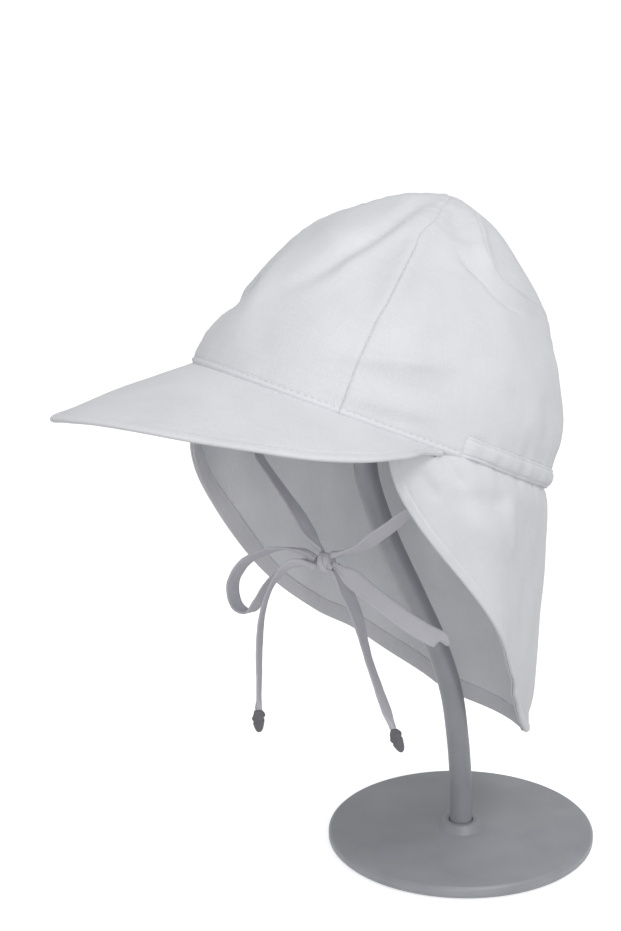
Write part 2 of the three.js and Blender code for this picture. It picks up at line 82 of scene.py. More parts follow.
view_back = np.array([
    math.sin(VIEW_AZIMUTH) * math.cos(VIEW_ELEVATION),
    -math.cos(VIEW_AZIMUTH) * math.cos(VIEW_ELEVATION),
    math.sin(VIEW_ELEVATION),
])
view_right = np.array([math.cos(VIEW_AZIMUTH), math.sin(VIEW_AZIMUTH), 0.0])
view_up = np.cross(view_back, view_right)
eye = RIM_CENTRE + view_back * VIEW_DISTANCE + view_right * VIEW_ASIDE[0] + view_up * VIEW_ASIDE[1]

camera_data = bpy.data.cameras.new("photo_camera")
camera_data.lens = LENS
camera_data.sensor_width = 36
camera_data.clip_end = 20
camera = bpy.data.objects.new("photo_camera", camera_data)
turn = Matrix([view_right, view_up, view_back]).transposed().to_4x4()
camera.matrix_world = Matrix.Translation(Vector(eye * MM)) @ turn
bpy.context.scene.collection.objects.link(camera)
bpy.context.scene.camera = camera
print("camera stands at", [round(v, 3) for v in camera.location])

# %% [markdown]
# ## From grids of points to cloth
# Sewn cloth is easiest to describe as a grid: so many points across, so many up, each placed by a rule.
# A modifier could thicken a flat sheet afterwards, but two grids, one for each face, let a hem be thicker
# than the cloth beside it and let an edge close to a soft roll. The second set of coordinates, the UVs, is
# kept in metres along the cloth, so that one weave has the same thread size on every piece.

# %% Helpers that turn grids into meshes
def smooth_step(start, end, x):
    t = np.clip((x - start) / (end - start), 0.0, 1.0)
    return t * t * (3 - 2 * t)


def bell(x, centre, width):
    """1 at the centre, falling softly to 0 on both sides of it."""
    return np.exp(-(((x - centre) / width) ** 2))


def unit(vectors):
    return vectors / np.maximum(np.linalg.norm(vectors, axis=-1, keepdims=True), 1e-9)


def walked_up(grid):
    """Distance of each point of a line or grid from its first row, along its columns."""
    steps = np.linalg.norm(np.diff(grid, axis=0), axis=-1)
    return np.concatenate([np.zeros((1,) + steps.shape[1:]), np.cumsum(steps, axis=0)])


def ring_uv(girth, walked):
    """UVs of a sweep, from metres round its section and metres along its path."""
    return np.stack(np.broadcast_arrays(girth[None, :], walked[:, None]), axis=-1).reshape(-1, 2)


def make_piece(name, points, faces, uv, face_kinds=None):
    """A smooth mesh object from points in rim-centred millimetres, with one UV per point, in metres."""
    mesh = bpy.data.meshes.new(name)
    placed = (points + RIM_CENTRE) * MM
    mesh.from_pydata(placed.tolist(), [], faces if isinstance(faces, list) else faces.tolist())
    layer = mesh.uv_layers.new(name="thread")
    corners = np.empty(len(mesh.loops), dtype=np.int32)
    mesh.loops.foreach_get("vertex_index", corners)
    layer.data.foreach_set("uv", uv[corners].ravel())
    if face_kinds is not None:
        mesh.polygons.foreach_set("material_index", face_kinds.astype(np.int32))
    mesh.shade_smooth()
    mesh.update()
    piece = bpy.data.objects.new(name, mesh)
    bpy.context.scene.collection.objects.link(piece)
    return piece


def grid_faces(rows, columns, start=0, closed=False):
    across = columns if closed else columns - 1
    j, i = np.meshgrid(np.arange(rows - 1), np.arange(across), indexing="ij")
    here = j * columns + i
    beside = j * columns + (i + 1) % columns
    quads = np.stack([here, beside, beside + columns, here + columns], axis=-1)
    return quads.reshape(-1, 4) + start


def shell(name, outer, inner, uv):
    """Two faces of one cloth, outer and inner grids of the same shape, joined round their edges."""
    rows, columns = outer.shape[:2]
    count = rows * columns
    front = grid_faces(rows, columns)
    back = grid_faces(rows, columns, count)[:, ::-1]
    numbers = np.arange(count).reshape(rows, columns)
    loop = np.concatenate([numbers[0, :-1], numbers[:-1, -1], numbers[-1, :0:-1], numbers[:0:-1, 0]])
    after = np.roll(loop, -1)
    edge = np.stack([after, loop, loop + count, after + count], axis=-1)
    faces = np.concatenate([front, back, edge])
    kinds = np.concatenate([np.zeros(len(front)), np.ones(len(back)), np.zeros(len(edge))])
    points = np.concatenate([outer.reshape(-1, 3), inner.reshape(-1, 3)])
    both = np.concatenate([uv.reshape(-1, 2), uv.reshape(-1, 2)])
    return make_piece(name, points, faces, both, kinds)


def grid_normals(grid):
    along = np.gradient(grid, axis=1)
    up = np.gradient(grid, axis=0)
    return unit(np.cross(along, up))


def grid_uv(grid):
    """Lengths along the rows and up the columns of a grid, in metres, measured from its middle column."""
    along = walked_up(grid.swapaxes(0, 1)).T
    along = along - along[:, [grid.shape[1] // 2]]
    return np.stack([along, walked_up(grid)], axis=-1) * MM


print("grid helpers are ready")

# %% [markdown]
# ## Ties and bow
# On the real cap a folded cotton tape, 8 mm wide, comes out of each side of the rim. Below the chin the
# tapes cross, are tied in a bow of two loops, and end in small knots. A curve with a bevel gives round
# cords, so each stretch of tape is lofted here instead: a flat, slightly crowned section follows a smooth
# path, turns with it, and is gathered into ridges where the knot squeezes it.

# %% Paths of the tapes, from the knot or from the rim
TAPE_WIDTH = 8.0
TAPE_THICK = 1.1
PINCHED_WIDTH = 2.4
PINCHED_THICK = 2.2
PINCH_LENGTH = 14.0
TAIL_HASTE = 1.6
KNOT = np.array([0.0, -26.0, -54.8])
KNOT_RADIUS = 4.4
GAP = 0.3
RIM_HALF_WIDTH = 73.0
BOW_REACH = 60.0
BOW_TURN = math.radians(15)
BOW_ALONG = np.array([math.cos(BOW_TURN), math.sin(BOW_TURN), 0.0])
BOW_FORWARD = np.array([math.sin(BOW_TURN), -math.cos(BOW_TURN), 0.0])
UP = np.array([0.0, 0.0, 1.0])

# Along the bow, forward of it and up, as shares of BOW_REACH, and the tape's turn in degrees
BOW_PATHS = {
    "bow_loop_left": [
        (-0.09, 0.023, 0.013, 10), (-0.2, 0, 0.04, 15), (-0.367, 0.008, 0.027, 20),
        (-0.55, 0.008, -0.05, 25), (-0.717, 0, -0.183, 20), (-0.808, -0.017, -0.367, 10),
        (-0.775, -0.025, -0.517, 0), (-0.675, -0.033, -0.542, -10), (-0.592, -0.033, -0.433, -10),
        (-0.508, -0.033, -0.275, 0), (-0.383, -0.037, -0.133, 10), (-0.233, -0.043, -0.07, 10),
        (-0.087, -0.037, -0.04, 10),
    ],
    "bow_loop_right": [
        (0.093, 0.027, 0.01, 50), (0.233, 0.077, -0.027, 60), (0.417, 0.1, -0.103, 66),
        (0.6, 0.108, -0.187, 66), (0.77, 0.1, -0.265, 62), (0.892, 0.06, -0.33, 54),
        (0.94, 0, -0.375, 44), (0.895, -0.06, -0.39, 48), (0.757, -0.078, -0.362, 58),
        (0.567, -0.07, -0.307, 62), (0.358, -0.067, -0.217, 60), (0.183, -0.05, -0.113, 50),
        (0.09, -0.037, -0.037, 40),
    ],
    "tail_left": [
        (-0.06, 0.073, -0.04, 40), (-0.167, 0.108, 0, 40), (-0.287, 0.125, -0.09, 10),
        (-0.382, 0.125, -0.232, -10), (-0.45, 0.125, -0.417, -15), (-0.483, 0.125, -0.667, -15),
        (-0.488, 0.125, -0.933, -20), (-0.492, 0.125, -1.205, -25),
    ],
    "tail_right": [
        (0.023, -0.057, -0.087, 10), (0.053, -0.117, -0.192, 10), (0.107, -0.15, -0.317, 5),
        (0.177, -0.15, -0.458, 0), (0.22, -0.15, -0.6, -10), (0.282, -0.15, -0.783, -15),
        (0.373, -0.15, -1, -10), (0.473, -0.15, -1.223, -5),
    ],
}
# Across the rim, behind and above its centre, as shares of its half width and of the knot's place
TIE_PATHS = {
    "tie_left": [
        (0.938, -0.385, 0.217, 25), (0.938, -0.5, 0.109, 25), (0.908, -0.558, -0.036, 24),
        (0.822, -0.608, -0.172, 20), (0.699, -0.665, -0.301, 20), (0.575, -0.727, -0.423, 30),
        (0.466, -0.781, -0.551, 35), (0.348, -0.838, -0.688, 40), (0.229, -0.896, -0.821, 30),
        (0.052, -0.977, -0.912, 25),
    ],
    "tie_right": [
        (-0.938, -0.385, 0.217, 5), (-0.938, -0.5, 0.109, 5), (-0.923, -0.55, -0.055, 0),
        (-0.868, -0.588, -0.237, -8), (-0.747, -0.646, -0.412, -15), (-0.581, -0.727, -0.536, -15),
        (-0.412, -0.808, -0.646, -10), (-0.277, -0.869, -0.748, 0), (-0.159, -0.927, -0.858, 5),
        (-0.052, -0.977, -0.912, 10),
    ],
}
print("tape paths:", ", ".join(list(TIE_PATHS) + list(BOW_PATHS)))

# %% [markdown]
# A smooth path through the points comes from centripetal splines, which never overshoot where two points
# lie close together, as they do beside a knot. The same rule shapes the solids, so the tapes lie on them.

# %% Smooth paths through the points
def at_knot(point):
    away = point - KNOT
    return KNOT + away / np.linalg.norm(away) * (KNOT_RADIUS + GAP)


def bow_point(row):
    along, forward, up = np.array(row[:3]) * BOW_REACH
    return KNOT + BOW_ALONG * along + BOW_FORWARD * forward + UP * up


def tape_points(name):
    if name in TIE_PATHS:
        points = [np.array(row[:3]) * [RIM_HALF_WIDTH, -KNOT[1], -KNOT[2]] for row in TIE_PATHS[name]]
        points[-1] = at_knot(points[-1])
        return points, [row[3] for row in TIE_PATHS[name]]
    points = [bow_point(row) for row in BOW_PATHS[name]]
    points[0] = at_knot(points[0])
    if "loop" in name:
        points[-1] = at_knot(points[-1])
    return points, [row[3] for row in BOW_PATHS[name]]


def curve_span(b, c, start, end, t):
    """Points of a cubic from b to c that leaves along start and arrives along end."""
    return b + start * t + (3 * (c - b) - 2 * start - end) * t**2 + (2 * (b - c) + start + end) * t**3


def spline(points, per_span, centripetal=True):
    p = np.array(points, dtype=float)
    if p.ndim == 1:
        p = p[:, None]
    p = np.concatenate([[2 * p[0] - p[1]], p, [2 * p[-1] - p[-2]]])
    t = np.linspace(0, 1, per_span, endpoint=False)[:, None]
    out = []
    for a, b, c, d in zip(p[:-3], p[1:-2], p[2:-1], p[3:]):
        if centripetal:
            before, between, after = (max(np.linalg.norm(q) ** 0.5, 1e-4) for q in (b - a, c - b, d - c))
            start = ((b - a) / before - (c - a) / (before + between) + (c - b) / between) * between
            end = ((c - b) / between - (d - b) / (between + after) + (d - c) / after) * between
        else:
            start, end = (c - a) / 2, (d - b) / 2
        out.append(curve_span(b, c, start, end, t))
    out.append(p[-2:-1])
    return np.concatenate(out)


def length_of(points):
    return float(np.linalg.norm(np.diff(points, axis=0), axis=-1).sum())


for tape in list(TIE_PATHS) + list(BOW_PATHS):
    print(tape, "is", round(length_of(spline(tape_points(tape)[0], 10))), "mm long")

# %% [markdown]
# The section of a tape is a closed ring of points: nearly flat, a little thicker along the two folded edges,
# with a shallow stitched groove beside one edge. Where the knot pinches the tape, the ring narrows, thickens
# and gets lengthwise ridges, because the same cloth has to fit in less width.

# %% Loft a tape along its path
RING_ACROSS = 15
SPAN_STEPS = 12


def tape_ring(width, thick, squeeze):
    x = np.sin(np.linspace(-math.pi / 2, math.pi / 2, RING_ACROSS))
    swell = np.sqrt(np.maximum(1 - np.abs(x) ** 5, 0.0))
    crown = 1 + 0.22 * bell(np.abs(x), 0.8, 0.16) - 0.4 * bell(x, 0.52, 0.1)
    height = swell * (crown * (1 - squeeze) + (1 + 0.38 * np.cos(x * 8.2)) * squeeze) * thick / 2
    ridge = 0.35 * squeeze * np.sin(x * 6.1 + 0.7)
    top = np.stack([x * width / 2, height + ridge], axis=-1)
    bottom = np.stack([x * width / 2, -height + ridge], axis=-1)[::-1][1:-1]
    return np.concatenate([top, bottom])


def loft_tape(name):
    points, turns = tape_points(name)
    path = spline(points, SPAN_STEPS)
    turn = np.radians(spline(turns, SPAN_STEPS, centripetal=False)[:, 0])
    ahead = unit(np.gradient(path, axis=0))
    walked = walked_up(path)
    sideways = unit(np.cross(ahead, BOW_FORWARD))
    wide = BOW_FORWARD * np.cos(turn)[:, None] + sideways * np.sin(turn)[:, None]
    thick_way = unit(np.cross(ahead, wide))
    wide = unit(np.cross(thick_way, ahead))
    from_start = np.full(len(path), PINCH_LENGTH) if name in TIE_PATHS else walked
    from_end = (walked[-1] - walked) * (TAIL_HASTE if "tail" in name else 1)
    open_share = smooth_step(0, PINCH_LENGTH, np.minimum(from_start, from_end))
    flutter = 0.16 * np.sin(walked * 0.37 + len(name)) + 0.1 * np.sin(walked * 0.83 + 2)
    rings = []
    for k, share in enumerate(open_share):
        width = PINCHED_WIDTH + (TAPE_WIDTH - PINCHED_WIDTH) * share
        thick = PINCHED_THICK + (TAPE_THICK - PINCHED_THICK) * share
        ring = tape_ring(width, thick, 1 - share)
        bend = flutter[k] * share * (2 * np.abs(ring[:, 0]) / width - 0.5)
        rings.append(path[k] + ring[:, :1] * wide[k] + (ring[:, 1:] + bend[:, None]) * thick_way[k])
    rings = np.array(rings)
    sides = rings.shape[1]
    faces = grid_faces(len(rings), sides, closed=True).tolist()
    last = (len(rings) - 1) * sides
    faces += [[sides - 1, sides - 1 - i, sides - 2 - i] for i in range(1, sides - 1)]
    faces += [[last, last + i, last + i + 1] for i in range(1, sides - 1)]
    uv = ring_uv(np.linspace(0, 2 * TAPE_WIDTH * MM, sides), walked * MM)
    return make_piece("cap_" + name, rings.reshape(-1, 3), faces, uv), (path + RIM_CENTRE) * MM


TAPES = {}
TAPE_LINES = {}
for tape in list(TIE_PATHS) + list(BOW_PATHS):
    TAPES[tape], TAPE_LINES[tape] = loft_tape(tape)
print("tapes lofted:", len(TAPES))

# %% [markdown]
# ## The knot and the knotted ends
# A bow's knot is one turn of tape pulled tight round the crossing of the others. A plain ball would look
# like a bead, so the knot is a lumpy core with two flattened rings of tape wound over it, one upright and
# one slanting. Each tail ends in an overhand knot: a bud with pleats that run down it.

# %% Knot of the bow
POLE = 0.02


def wound_ring(centre, across, first, second, radius, width, thick, steps=48, sides=14):
    """A closed ring of tape round the axis across, in the plane of first and second."""
    a = np.linspace(0, 2 * math.pi, steps, endpoint=False)
    out = np.cos(a)[:, None] * first + np.sin(a)[:, None] * second
    b = np.linspace(0, 2 * math.pi, sides, endpoint=False)
    flat = np.sign(np.cos(b)) * np.abs(np.cos(b)) ** 0.7
    swell = np.sin(b) + 0.22 * np.cos(3 * b)
    width_here = width * (1 + 0.12 * np.sin(2 * a + 1))
    points = (
        centre
        + out[:, None, :] * (radius + swell[None, :] * thick / 2)[:, :, None]
        + across * (flat[None, :] * width_here[:, None] / 2)[:, :, None]
        + across * (0.5 * np.sin(a))[:, None, None]
    )
    faces = grid_faces(steps + 1, sides, closed=True) % (steps * sides)
    girth, walk = np.meshgrid(b * thick * MM, a * radius * MM)
    return points.reshape(-1, 3), faces, np.stack([girth, walk], axis=-1).reshape(-1, 2)


def lump(centre, axes, radii, pleats, steps=40, sides=36):
    """An egg with creases, its poles along the third axis."""
    v = np.linspace(POLE, math.pi - POLE, steps)
    v, w = np.meshgrid(v, np.linspace(0, 2 * math.pi, sides, endpoint=False), indexing="ij")
    crease = 1 + pleats * (np.cos(5 * w + 2 * v) + 0.6 * np.cos(3 * w - 4 * v + 1)) * np.sin(v)
    wide = np.sin(v) * crease
    local = np.stack([wide * np.cos(w), wide * np.sin(w), np.cos(v)], axis=-1) * radii
    points = centre + local @ np.array(axes)
    uv = np.stack([w * radii[0], v * radii[2]], axis=-1) * MM
    return points.reshape(-1, 3), grid_faces(steps, sides, closed=True), uv.reshape(-1, 2)


def join_parts(name, parts):
    points, faces, uvs, start = [], [], [], 0
    for part_points, part_faces, part_uv in parts:
        points.append(part_points)
        faces.append(part_faces + start)
        uvs.append(part_uv)
        start += len(part_points)
    return make_piece(name, np.concatenate(points), np.concatenate(faces), np.concatenate(uvs))


slant = unit(BOW_ALONG + 0.75 * UP)
upright = unit(UP - 0.75 * BOW_ALONG)
knot = join_parts("cap_bow_knot", [
    lump(KNOT, (BOW_ALONG, BOW_FORWARD, UP), np.array([4.0, 3.3, 3.6]), 0.07),
    wound_ring(KNOT, BOW_ALONG, BOW_FORWARD, UP, 3.3, 4.6, 1.5),
    wound_ring(KNOT + BOW_FORWARD * 0.3, slant, BOW_FORWARD, upright, 3.7, 2.6, 1.3),
])
print("the knot is", round(2 * KNOT_RADIUS), "mm across")

# %% Knotted ends of the tails
TAIL_END_LENGTH = 10.6
BUD_RADIUS = 2.5
# Share of the bud's length and its radius in mm
BUD_PROFILE = [
    (0, 1.2), (0.08, 1.9), (0.2, 2.45), (0.4, 2.55), (0.6, 2.3), (0.8, 1.85), (0.93, 1.2), (1, 0.25),
]


def bud(name, tail):
    last = bow_point(BOW_PATHS[tail][-1])
    axis = unit(last - bow_point(BOW_PATHS[tail][-2]))
    side = unit(np.cross(axis, BOW_FORWARD))
    front = np.cross(side, axis)
    profile = spline(BUD_PROFILE, 6)
    w = np.linspace(0, 2 * math.pi, 32, endpoint=False)
    s = profile[:, :1]
    pleat = 1 + 0.1 * np.cos(6 * w + 5 * s) + 0.06 * np.cos(3 * w - 3 * s)
    slant_line = s - 0.09 * np.sin(w + 1)
    wrap = 0.35 * bell(slant_line, 0.3, 0.06)
    groove = 0.45 * bell(slant_line, 0.46, 0.035)
    radius = profile[:, 1:] * pleat + wrap - groove
    radius = np.maximum(radius, 0.15)
    points = (
        last
        + axis * (GAP + s * TAIL_END_LENGTH)[:, :, None]
        + side * (radius * np.cos(w))[:, :, None]
        + front * (radius * np.sin(w) * 0.85)[:, :, None]
    )
    uv = ring_uv(w * BUD_RADIUS * MM, s[:, 0] * TAIL_END_LENGTH * MM)
    return make_piece(name, points.reshape(-1, 3), grid_faces(len(points), len(w), closed=True), uv)


end_left = bud("cap_tail_end_left", "tail_left")
end_right = bud("cap_tail_end_right", "tail_right")
print("tail ends are", TAIL_END_LENGTH, "mm long")

# %% [markdown]
# Each stretch of tape takes the place of its imported node. A table lists its real length, how its far end
# finishes and the pieces that sit on it, but only its name is used. The ties hang from the rim to the knot,
# the loops leave the knot and come back to it, and the tails hang from it to their knotted ends. The lengths
# are those that the photograph shows.

def hand_over(piece, node):
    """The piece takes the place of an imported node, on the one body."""
    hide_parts(node)
    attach(piece, BODY)


TAPE_FACTS = {
    "tie_left": (0.097, "knot", [knot]),
    "tie_right": (0.100, "knot", []),
    "bow_loop_left": (0.122, "object", []),
    "bow_loop_right": (0.121, "object", []),
    "tail_left": (0.087, "knot", [end_left]),
    "tail_right": (0.076, "knot", [end_right]),
}
for tape, (real_length, far_end, on_it) in TAPE_FACTS.items():
    hand_over(TAPES[tape], tape)
hand_over(knot, "bow_knot")
hand_over(end_left, "tail_end_left")
hand_over(end_right, "tail_end_right")
print("cords declared:", len(TAPE_FACTS))

# %% [markdown]
# ## The crown: four sewn panels
# The crown is drawn first as one smooth dome that leans back with the hat: a profile from rim to top, swept
# round an oval. The four panels are cut from it along their seams. Sculpting by hand could add the folds of
# soft cotton, but written as short tables they can be moved one by one: a fold is a line on the dome, with
# a width and a depth. A few long, weak waves in seeded directions keep the cloth between the folds from
# being dead flat.

# %% The dome and its folds
TILT = math.radians(27.3)
RIM_HALF_LENGTH = 86.0
RIM_MEAN = (RIM_HALF_LENGTH + RIM_HALF_WIDTH) / 2
CROWN_HEIGHT = 102.0
# Height and radius of the dome, as shares
PROFILE = [
    (0, 1), (0.11, 0.997), (0.2, 0.98), (0.3, 0.937), (0.42, 0.868),
    (0.55, 0.775), (0.7, 0.637), (0.83, 0.457), (0.94, 0.25), (1, 0.014),
]
# Folds of the crown: (angle, height share) from and to, half width and depth in mm
CROWN_FOLDS = [
    ([(-52, 0.2), (-34, 0.34)], 14, 5.5),
    ([(-20, 0.62), (12, 0.5)], 9, 1.5),
    ([(-5, 0.86), (20, 0.66)], 8, 1.2),
    ([(86, 0.72), (128, 0.56)], 6, 1.6),
    ([(140, 0.16), (220, 0.16)], 8, 1.5),
    ([(-62, 0.45), (-96, 0.3)], 12, 1.6),
]
# Smaller folds that only the cloth shows: a line over the dome, half width and depth in mm
CROWN_CREASES = [
    ([(14, 0.985), (17, 0.92), (17.5, 0.783), (14.5, 0.69), (9, 0.56), (3, 0.43), (-8, 0.27)], 5.0, 2.9),
    ([(30, 0.985), (32, 0.92), (28, 0.783), (23, 0.69), (18, 0.56), (13, 0.43), (4, 0.27)], 4.6, -1.9),
    ([(39, 0.92), (39, 0.8), (39, 0.6), (39, 0.42), (38, 0.32)], 6.5, -2.7),
    ([(56, 0.82), (63, 0.745), (74, 0.712), (82, 0.672), (91, 0.65), (102, 0.635), (120, 0.62)], 3.1, 3.0),
    ([(62, 0.84), (76, 0.765), (88, 0.715), (104, 0.685), (124, 0.665)], 4.2, -1.9),
    ([(78, 0.985), (77.5, 0.89), (76.5, 0.8), (83, 0.73)], 4.2, -2.2),
    ([(56, 0.95), (59, 0.86), (64, 0.79)], 5.0, 1.9),
    ([(-34, 0.62), (-27, 0.4), (-29, 0.12)], 12.0, 2.4),
    ([(-26, 0.66), (-19, 0.5), (-12, 0.38), (-8, 0.26), (-12, 0.12)], 6.5, -1.5),
    ([(20, 0.185), (37, 0.225), (48.5, 0.26), (58, 0.292), (78, 0.35)], 3.4, -2.3),
    ([(30, 0.33), (46, 0.365), (58, 0.4), (70, 0.44)], 5.0, 1.0),
    ([(26, 0.05), (42, 0.075), (54, 0.09), (70, 0.1)], 3.4, -1.7),
    ([(30, 0.13), (46, 0.16), (58, 0.185), (70, 0.21)], 4.0, 1.0),
    ([(-44, 0.86), (-46, 0.66), (-50, 0.5)], 6.0, -1.4),
    ([(-41, 0.3), (-55, 0.36), (-72, 0.4)], 4.5, -0.9),
    ([(-44, 0.14), (-60, 0.17), (-80, 0.24)], 5.0, 0.8),
    ([(-62, 0.8), (-76, 0.74), (-88, 0.66), (-112, 0.62)], 5.0, 1.0),
    ([(84, 0.34), (94, 0.3), (104, 0.22)], 7.0, 0.8),
    ([(110, 0.1), (112, 0.24), (106, 0.36)], 5.0, 0.8),
    ([(122, 0.12), (126, 0.22), (122, 0.34)], 6.0, -0.7),
    ([(168, 0.12), (172, 0.34), (178, 0.55)], 7.0, 1.0),
    ([(200, 0.12), (196, 0.3), (190, 0.44)], 7.0, -0.8),
    ([(235, 0.12), (238, 0.26), (246, 0.36)], 6.0, 0.9),
    ([(12, 0.09), (4, 0.2), (2, 0.28)], 7.0, 0.7),
]
WAVES = 16
waves = np.random.default_rng(27)
wave_ways = unit(waves.normal(size=(WAVES, 3)))
wave_lengths = waves.uniform(17, 52, WAVES)
wave_starts = waves.uniform(0, 2 * math.pi, WAVES)


def hat(across, forward, rise):
    c, s = math.cos(TILT), math.sin(TILT)
    return np.stack(np.broadcast_arrays(across, -forward * c + rise * s, forward * s + rise * c), axis=-1)


def even_line(rows, steps=240):
    """A spline through the rows whose parameter runs evenly along its length."""
    p = np.array(rows, dtype=float)
    p = np.concatenate([p[:1], p, p[-1:]])
    t = np.linspace(0, 1, steps, endpoint=False)[:, None]
    out = []
    for a, b, c, d in zip(p[:-3], p[1:-2], p[2:-1], p[3:]):
        start, end = (c - a) / 2, (d - b) / 2
        out.append(curve_span(b, c, start, end, t))
    line = np.concatenate(out + [p[-1:]])
    walked = walked_up(line)
    return line, walked / walked[-1]


profile_line, profile_share = even_line(PROFILE)


def profile_at(share):
    """Height and radius shares; below the rim the profile runs straight down."""
    height = np.interp(share, profile_share, profile_line[:, 0]) + np.minimum(share, 0) * 1.45
    return height, np.interp(share, profile_share, profile_line[:, 1])


def share_at(height):
    return np.interp(height, profile_line[:, 0], profile_share)


def dome(angle, share):
    height, radius = profile_at(share)
    a = np.radians(angle)
    across, forward = RIM_HALF_WIDTH * radius * np.sin(a), RIM_HALF_LENGTH * radius * np.cos(a)
    return hat(across, forward, CROWN_HEIGHT * height)


def near_line(points, line):
    """Distance of each point to a polyline, and how far along the line its nearest place is, from 0 to 1."""
    flat = points.reshape(-1, 3)
    best = np.full(len(flat), 1e9)
    place = np.zeros(len(flat))
    for k in range(len(line) - 1):
        along = line[k + 1] - line[k]
        t = np.clip((flat - line[k]) @ along / max(along @ along, 1e-9), 0, 1)
        away = np.linalg.norm(flat - line[k] - t[:, None] * along, axis=1)
        closer = away < best
        best[closer] = away[closer]
        place[closer] = (k + t[closer]) / (len(line) - 1)
    return best.reshape(points.shape[:-1]), place.reshape(points.shape[:-1])


def soft_waves(points, depth):
    phases = points @ (wave_ways / wave_lengths[:, None]).T * 2 * math.pi + wave_starts
    return depth * (np.sin(phases) * (wave_lengths / 52)).sum(axis=-1) / math.sqrt(WAVES)


print("the dome is", round(float(profile_line[-1, 0] * CROWN_HEIGHT)), "mm high")

# %% Main folds and small creases of the crown
CROWN_MIDDLE = hat(0.0, 0.0, CROWN_HEIGHT * 0.35)
fold_lines = []
for places, half_width, depth in CROWN_FOLDS:
    fold_lines.append((np.array([dome(a, share_at(h)) for a, h in places]), half_width, depth))
crease_lines = []
for places, half_width, depth in CROWN_CREASES:
    drawn = spline([dome(a, share_at(h)) for a, h in places], 5)
    crease_lines.append((drawn, half_width, depth))


def folded_dome(angle, share):
    points = dome(angle, share)
    inward = unit(CROWN_MIDDLE - points)
    for line, half_width, depth in fold_lines:
        away, _ = near_line(points, line)
        points = points + inward * (depth * bell(away, 0, half_width))[..., None]
    return points


def dome_normal(angle, share):
    over, under = np.minimum(share + 0.01, 1), np.maximum(share - 0.01, 0)
    turned_by = folded_dome(angle + 1, share) - folded_dome(angle - 1, share)
    return unit(np.cross(turned_by, folded_dome(angle, over) - folded_dome(angle, under)))


def crease_depth(points):
    total = soft_waves(points, 0.55)
    for line, half_width, depth in crease_lines:
        away, place = near_line(points, line)
        ends = smooth_step(0, 0.4, place) * smooth_step(0, 0.4, 1 - place)
        total -= depth * ends * bell(away, 0, half_width)
    return total


print("folds:", len(fold_lines), "and creases:", len(crease_lines))

# %% [markdown]
# A seam pulls the cloth down into a narrow groove, and the turned-in allowances under it raise a soft welt
# beside it. Along the groove the cloth puckers a little, more strongly near the peak and the band, where
# many layers meet. Each panel runs exactly to its seams, so two panels meet at the bottom of one groove.

# %% Cut the panels from the dome
# Height share and angle from the front
BACK_SEAM = [
    (0, 145), (0.5, 143), (0.62, 137), (0.665, 128), (0.688, 118), (0.705, 103), (0.735, 90),
    (0.775, 81), (0.82, 76.5), (0.9, 77), (1, 79),
]
FRONT_SEAM = [(0, 38), (0.35, 38), (0.5, 39), (0.69, 39), (0.766, 37.8), (0.866, 41), (1, 39)]
BAND_HEIGHT = 8.6
BAND_FROM = 76.5
BAND_PULL = 1.5
FOOT_TUCK = 0.9
CROWN_WALL = 1.5
TOP_TUCK = 0.6


def read(rows, x, column=1):
    """A table's column at x, by a curve that never overshoots its rows."""
    table = np.array(rows, dtype=float)
    xs, ys = table[:, 0], table[:, column]
    slopes = np.diff(ys) / np.diff(xs)
    product = slopes[:-1] * slopes[1:]
    total = slopes[:-1] + slopes[1:]
    inner = np.where(product > 0, 2 * product / np.where(product > 0, total, 1), 0)
    tangents = np.concatenate([[0], inner, [0]])
    x = np.clip(x, xs[0], xs[-1])
    i = np.clip(np.searchsorted(xs, x, side="right") - 1, 0, len(xs) - 2)
    span = xs[i + 1] - xs[i]
    t = (x - xs[i]) / span
    rest = 1 - t
    return (
        ys[i] * (1 + 2 * t) * rest**2 + tangents[i] * span * t * rest**2
        + ys[i + 1] * t**2 * (3 - 2 * t) - tangents[i + 1] * span * t**2 * rest
    )


def side_of(angle):
    return np.where(angle > 180, 360 - angle, np.abs(angle))


def band_pull(side):
    """How far the elastic draws the cloth in, in mm."""
    return BAND_PULL * smooth_step(BAND_FROM + 6, BAND_FROM + 26, side)


SEAMS = {
    "front_left": lambda h: read(FRONT_SEAM, h),
    "front_right": lambda h: 360 - read(FRONT_SEAM, h),
    "back_left": lambda h: read(BACK_SEAM, h),
    "back_right": lambda h: 360 - read(BACK_SEAM, h),
}
SEAM_LINES = {}
for seam_name, seam_angle in SEAMS.items():
    seam_shares = np.linspace(0.02, 1, 90)
    SEAM_LINES[seam_name] = dome(seam_angle(profile_at(seam_shares)[0]), seam_shares)
    print("seam", seam_name, "is", round(length_of(SEAM_LINES[seam_name])), "mm long")

# %% Panel builder
CLOTH_STEP = 1.25
GROOVE_DEPTH = 0.42
WELT_HEIGHT = 0.2
PUCKER = 0.24
FOOT_STITCH = 2.5
FOOT_REACH = 5.0
FOOT_STEP = 0.4
TIP_CLOSING = 0.93
GATHER_WAVES = 34
GATHER_DEPTH = 0.45
GATHER_REACH = 7.0
PULL_REACH = 11.0
BEHIND_BAND = 1.3


def gathers(angle, seed=0.0):
    """Uneven small pleats round the rim, from -1 to 1."""
    t = np.radians(angle)
    wander = 0.9 * np.sin(3.3 * t + seed) + 0.6 * np.sin(7.1 * t + 1.7 + seed)
    finer = np.sin(GATHER_WAVES * 1.73 * t - 1.4 * wander + seed)
    return 0.62 * np.sin(GATHER_WAVES * t + wander) + 0.38 * finer


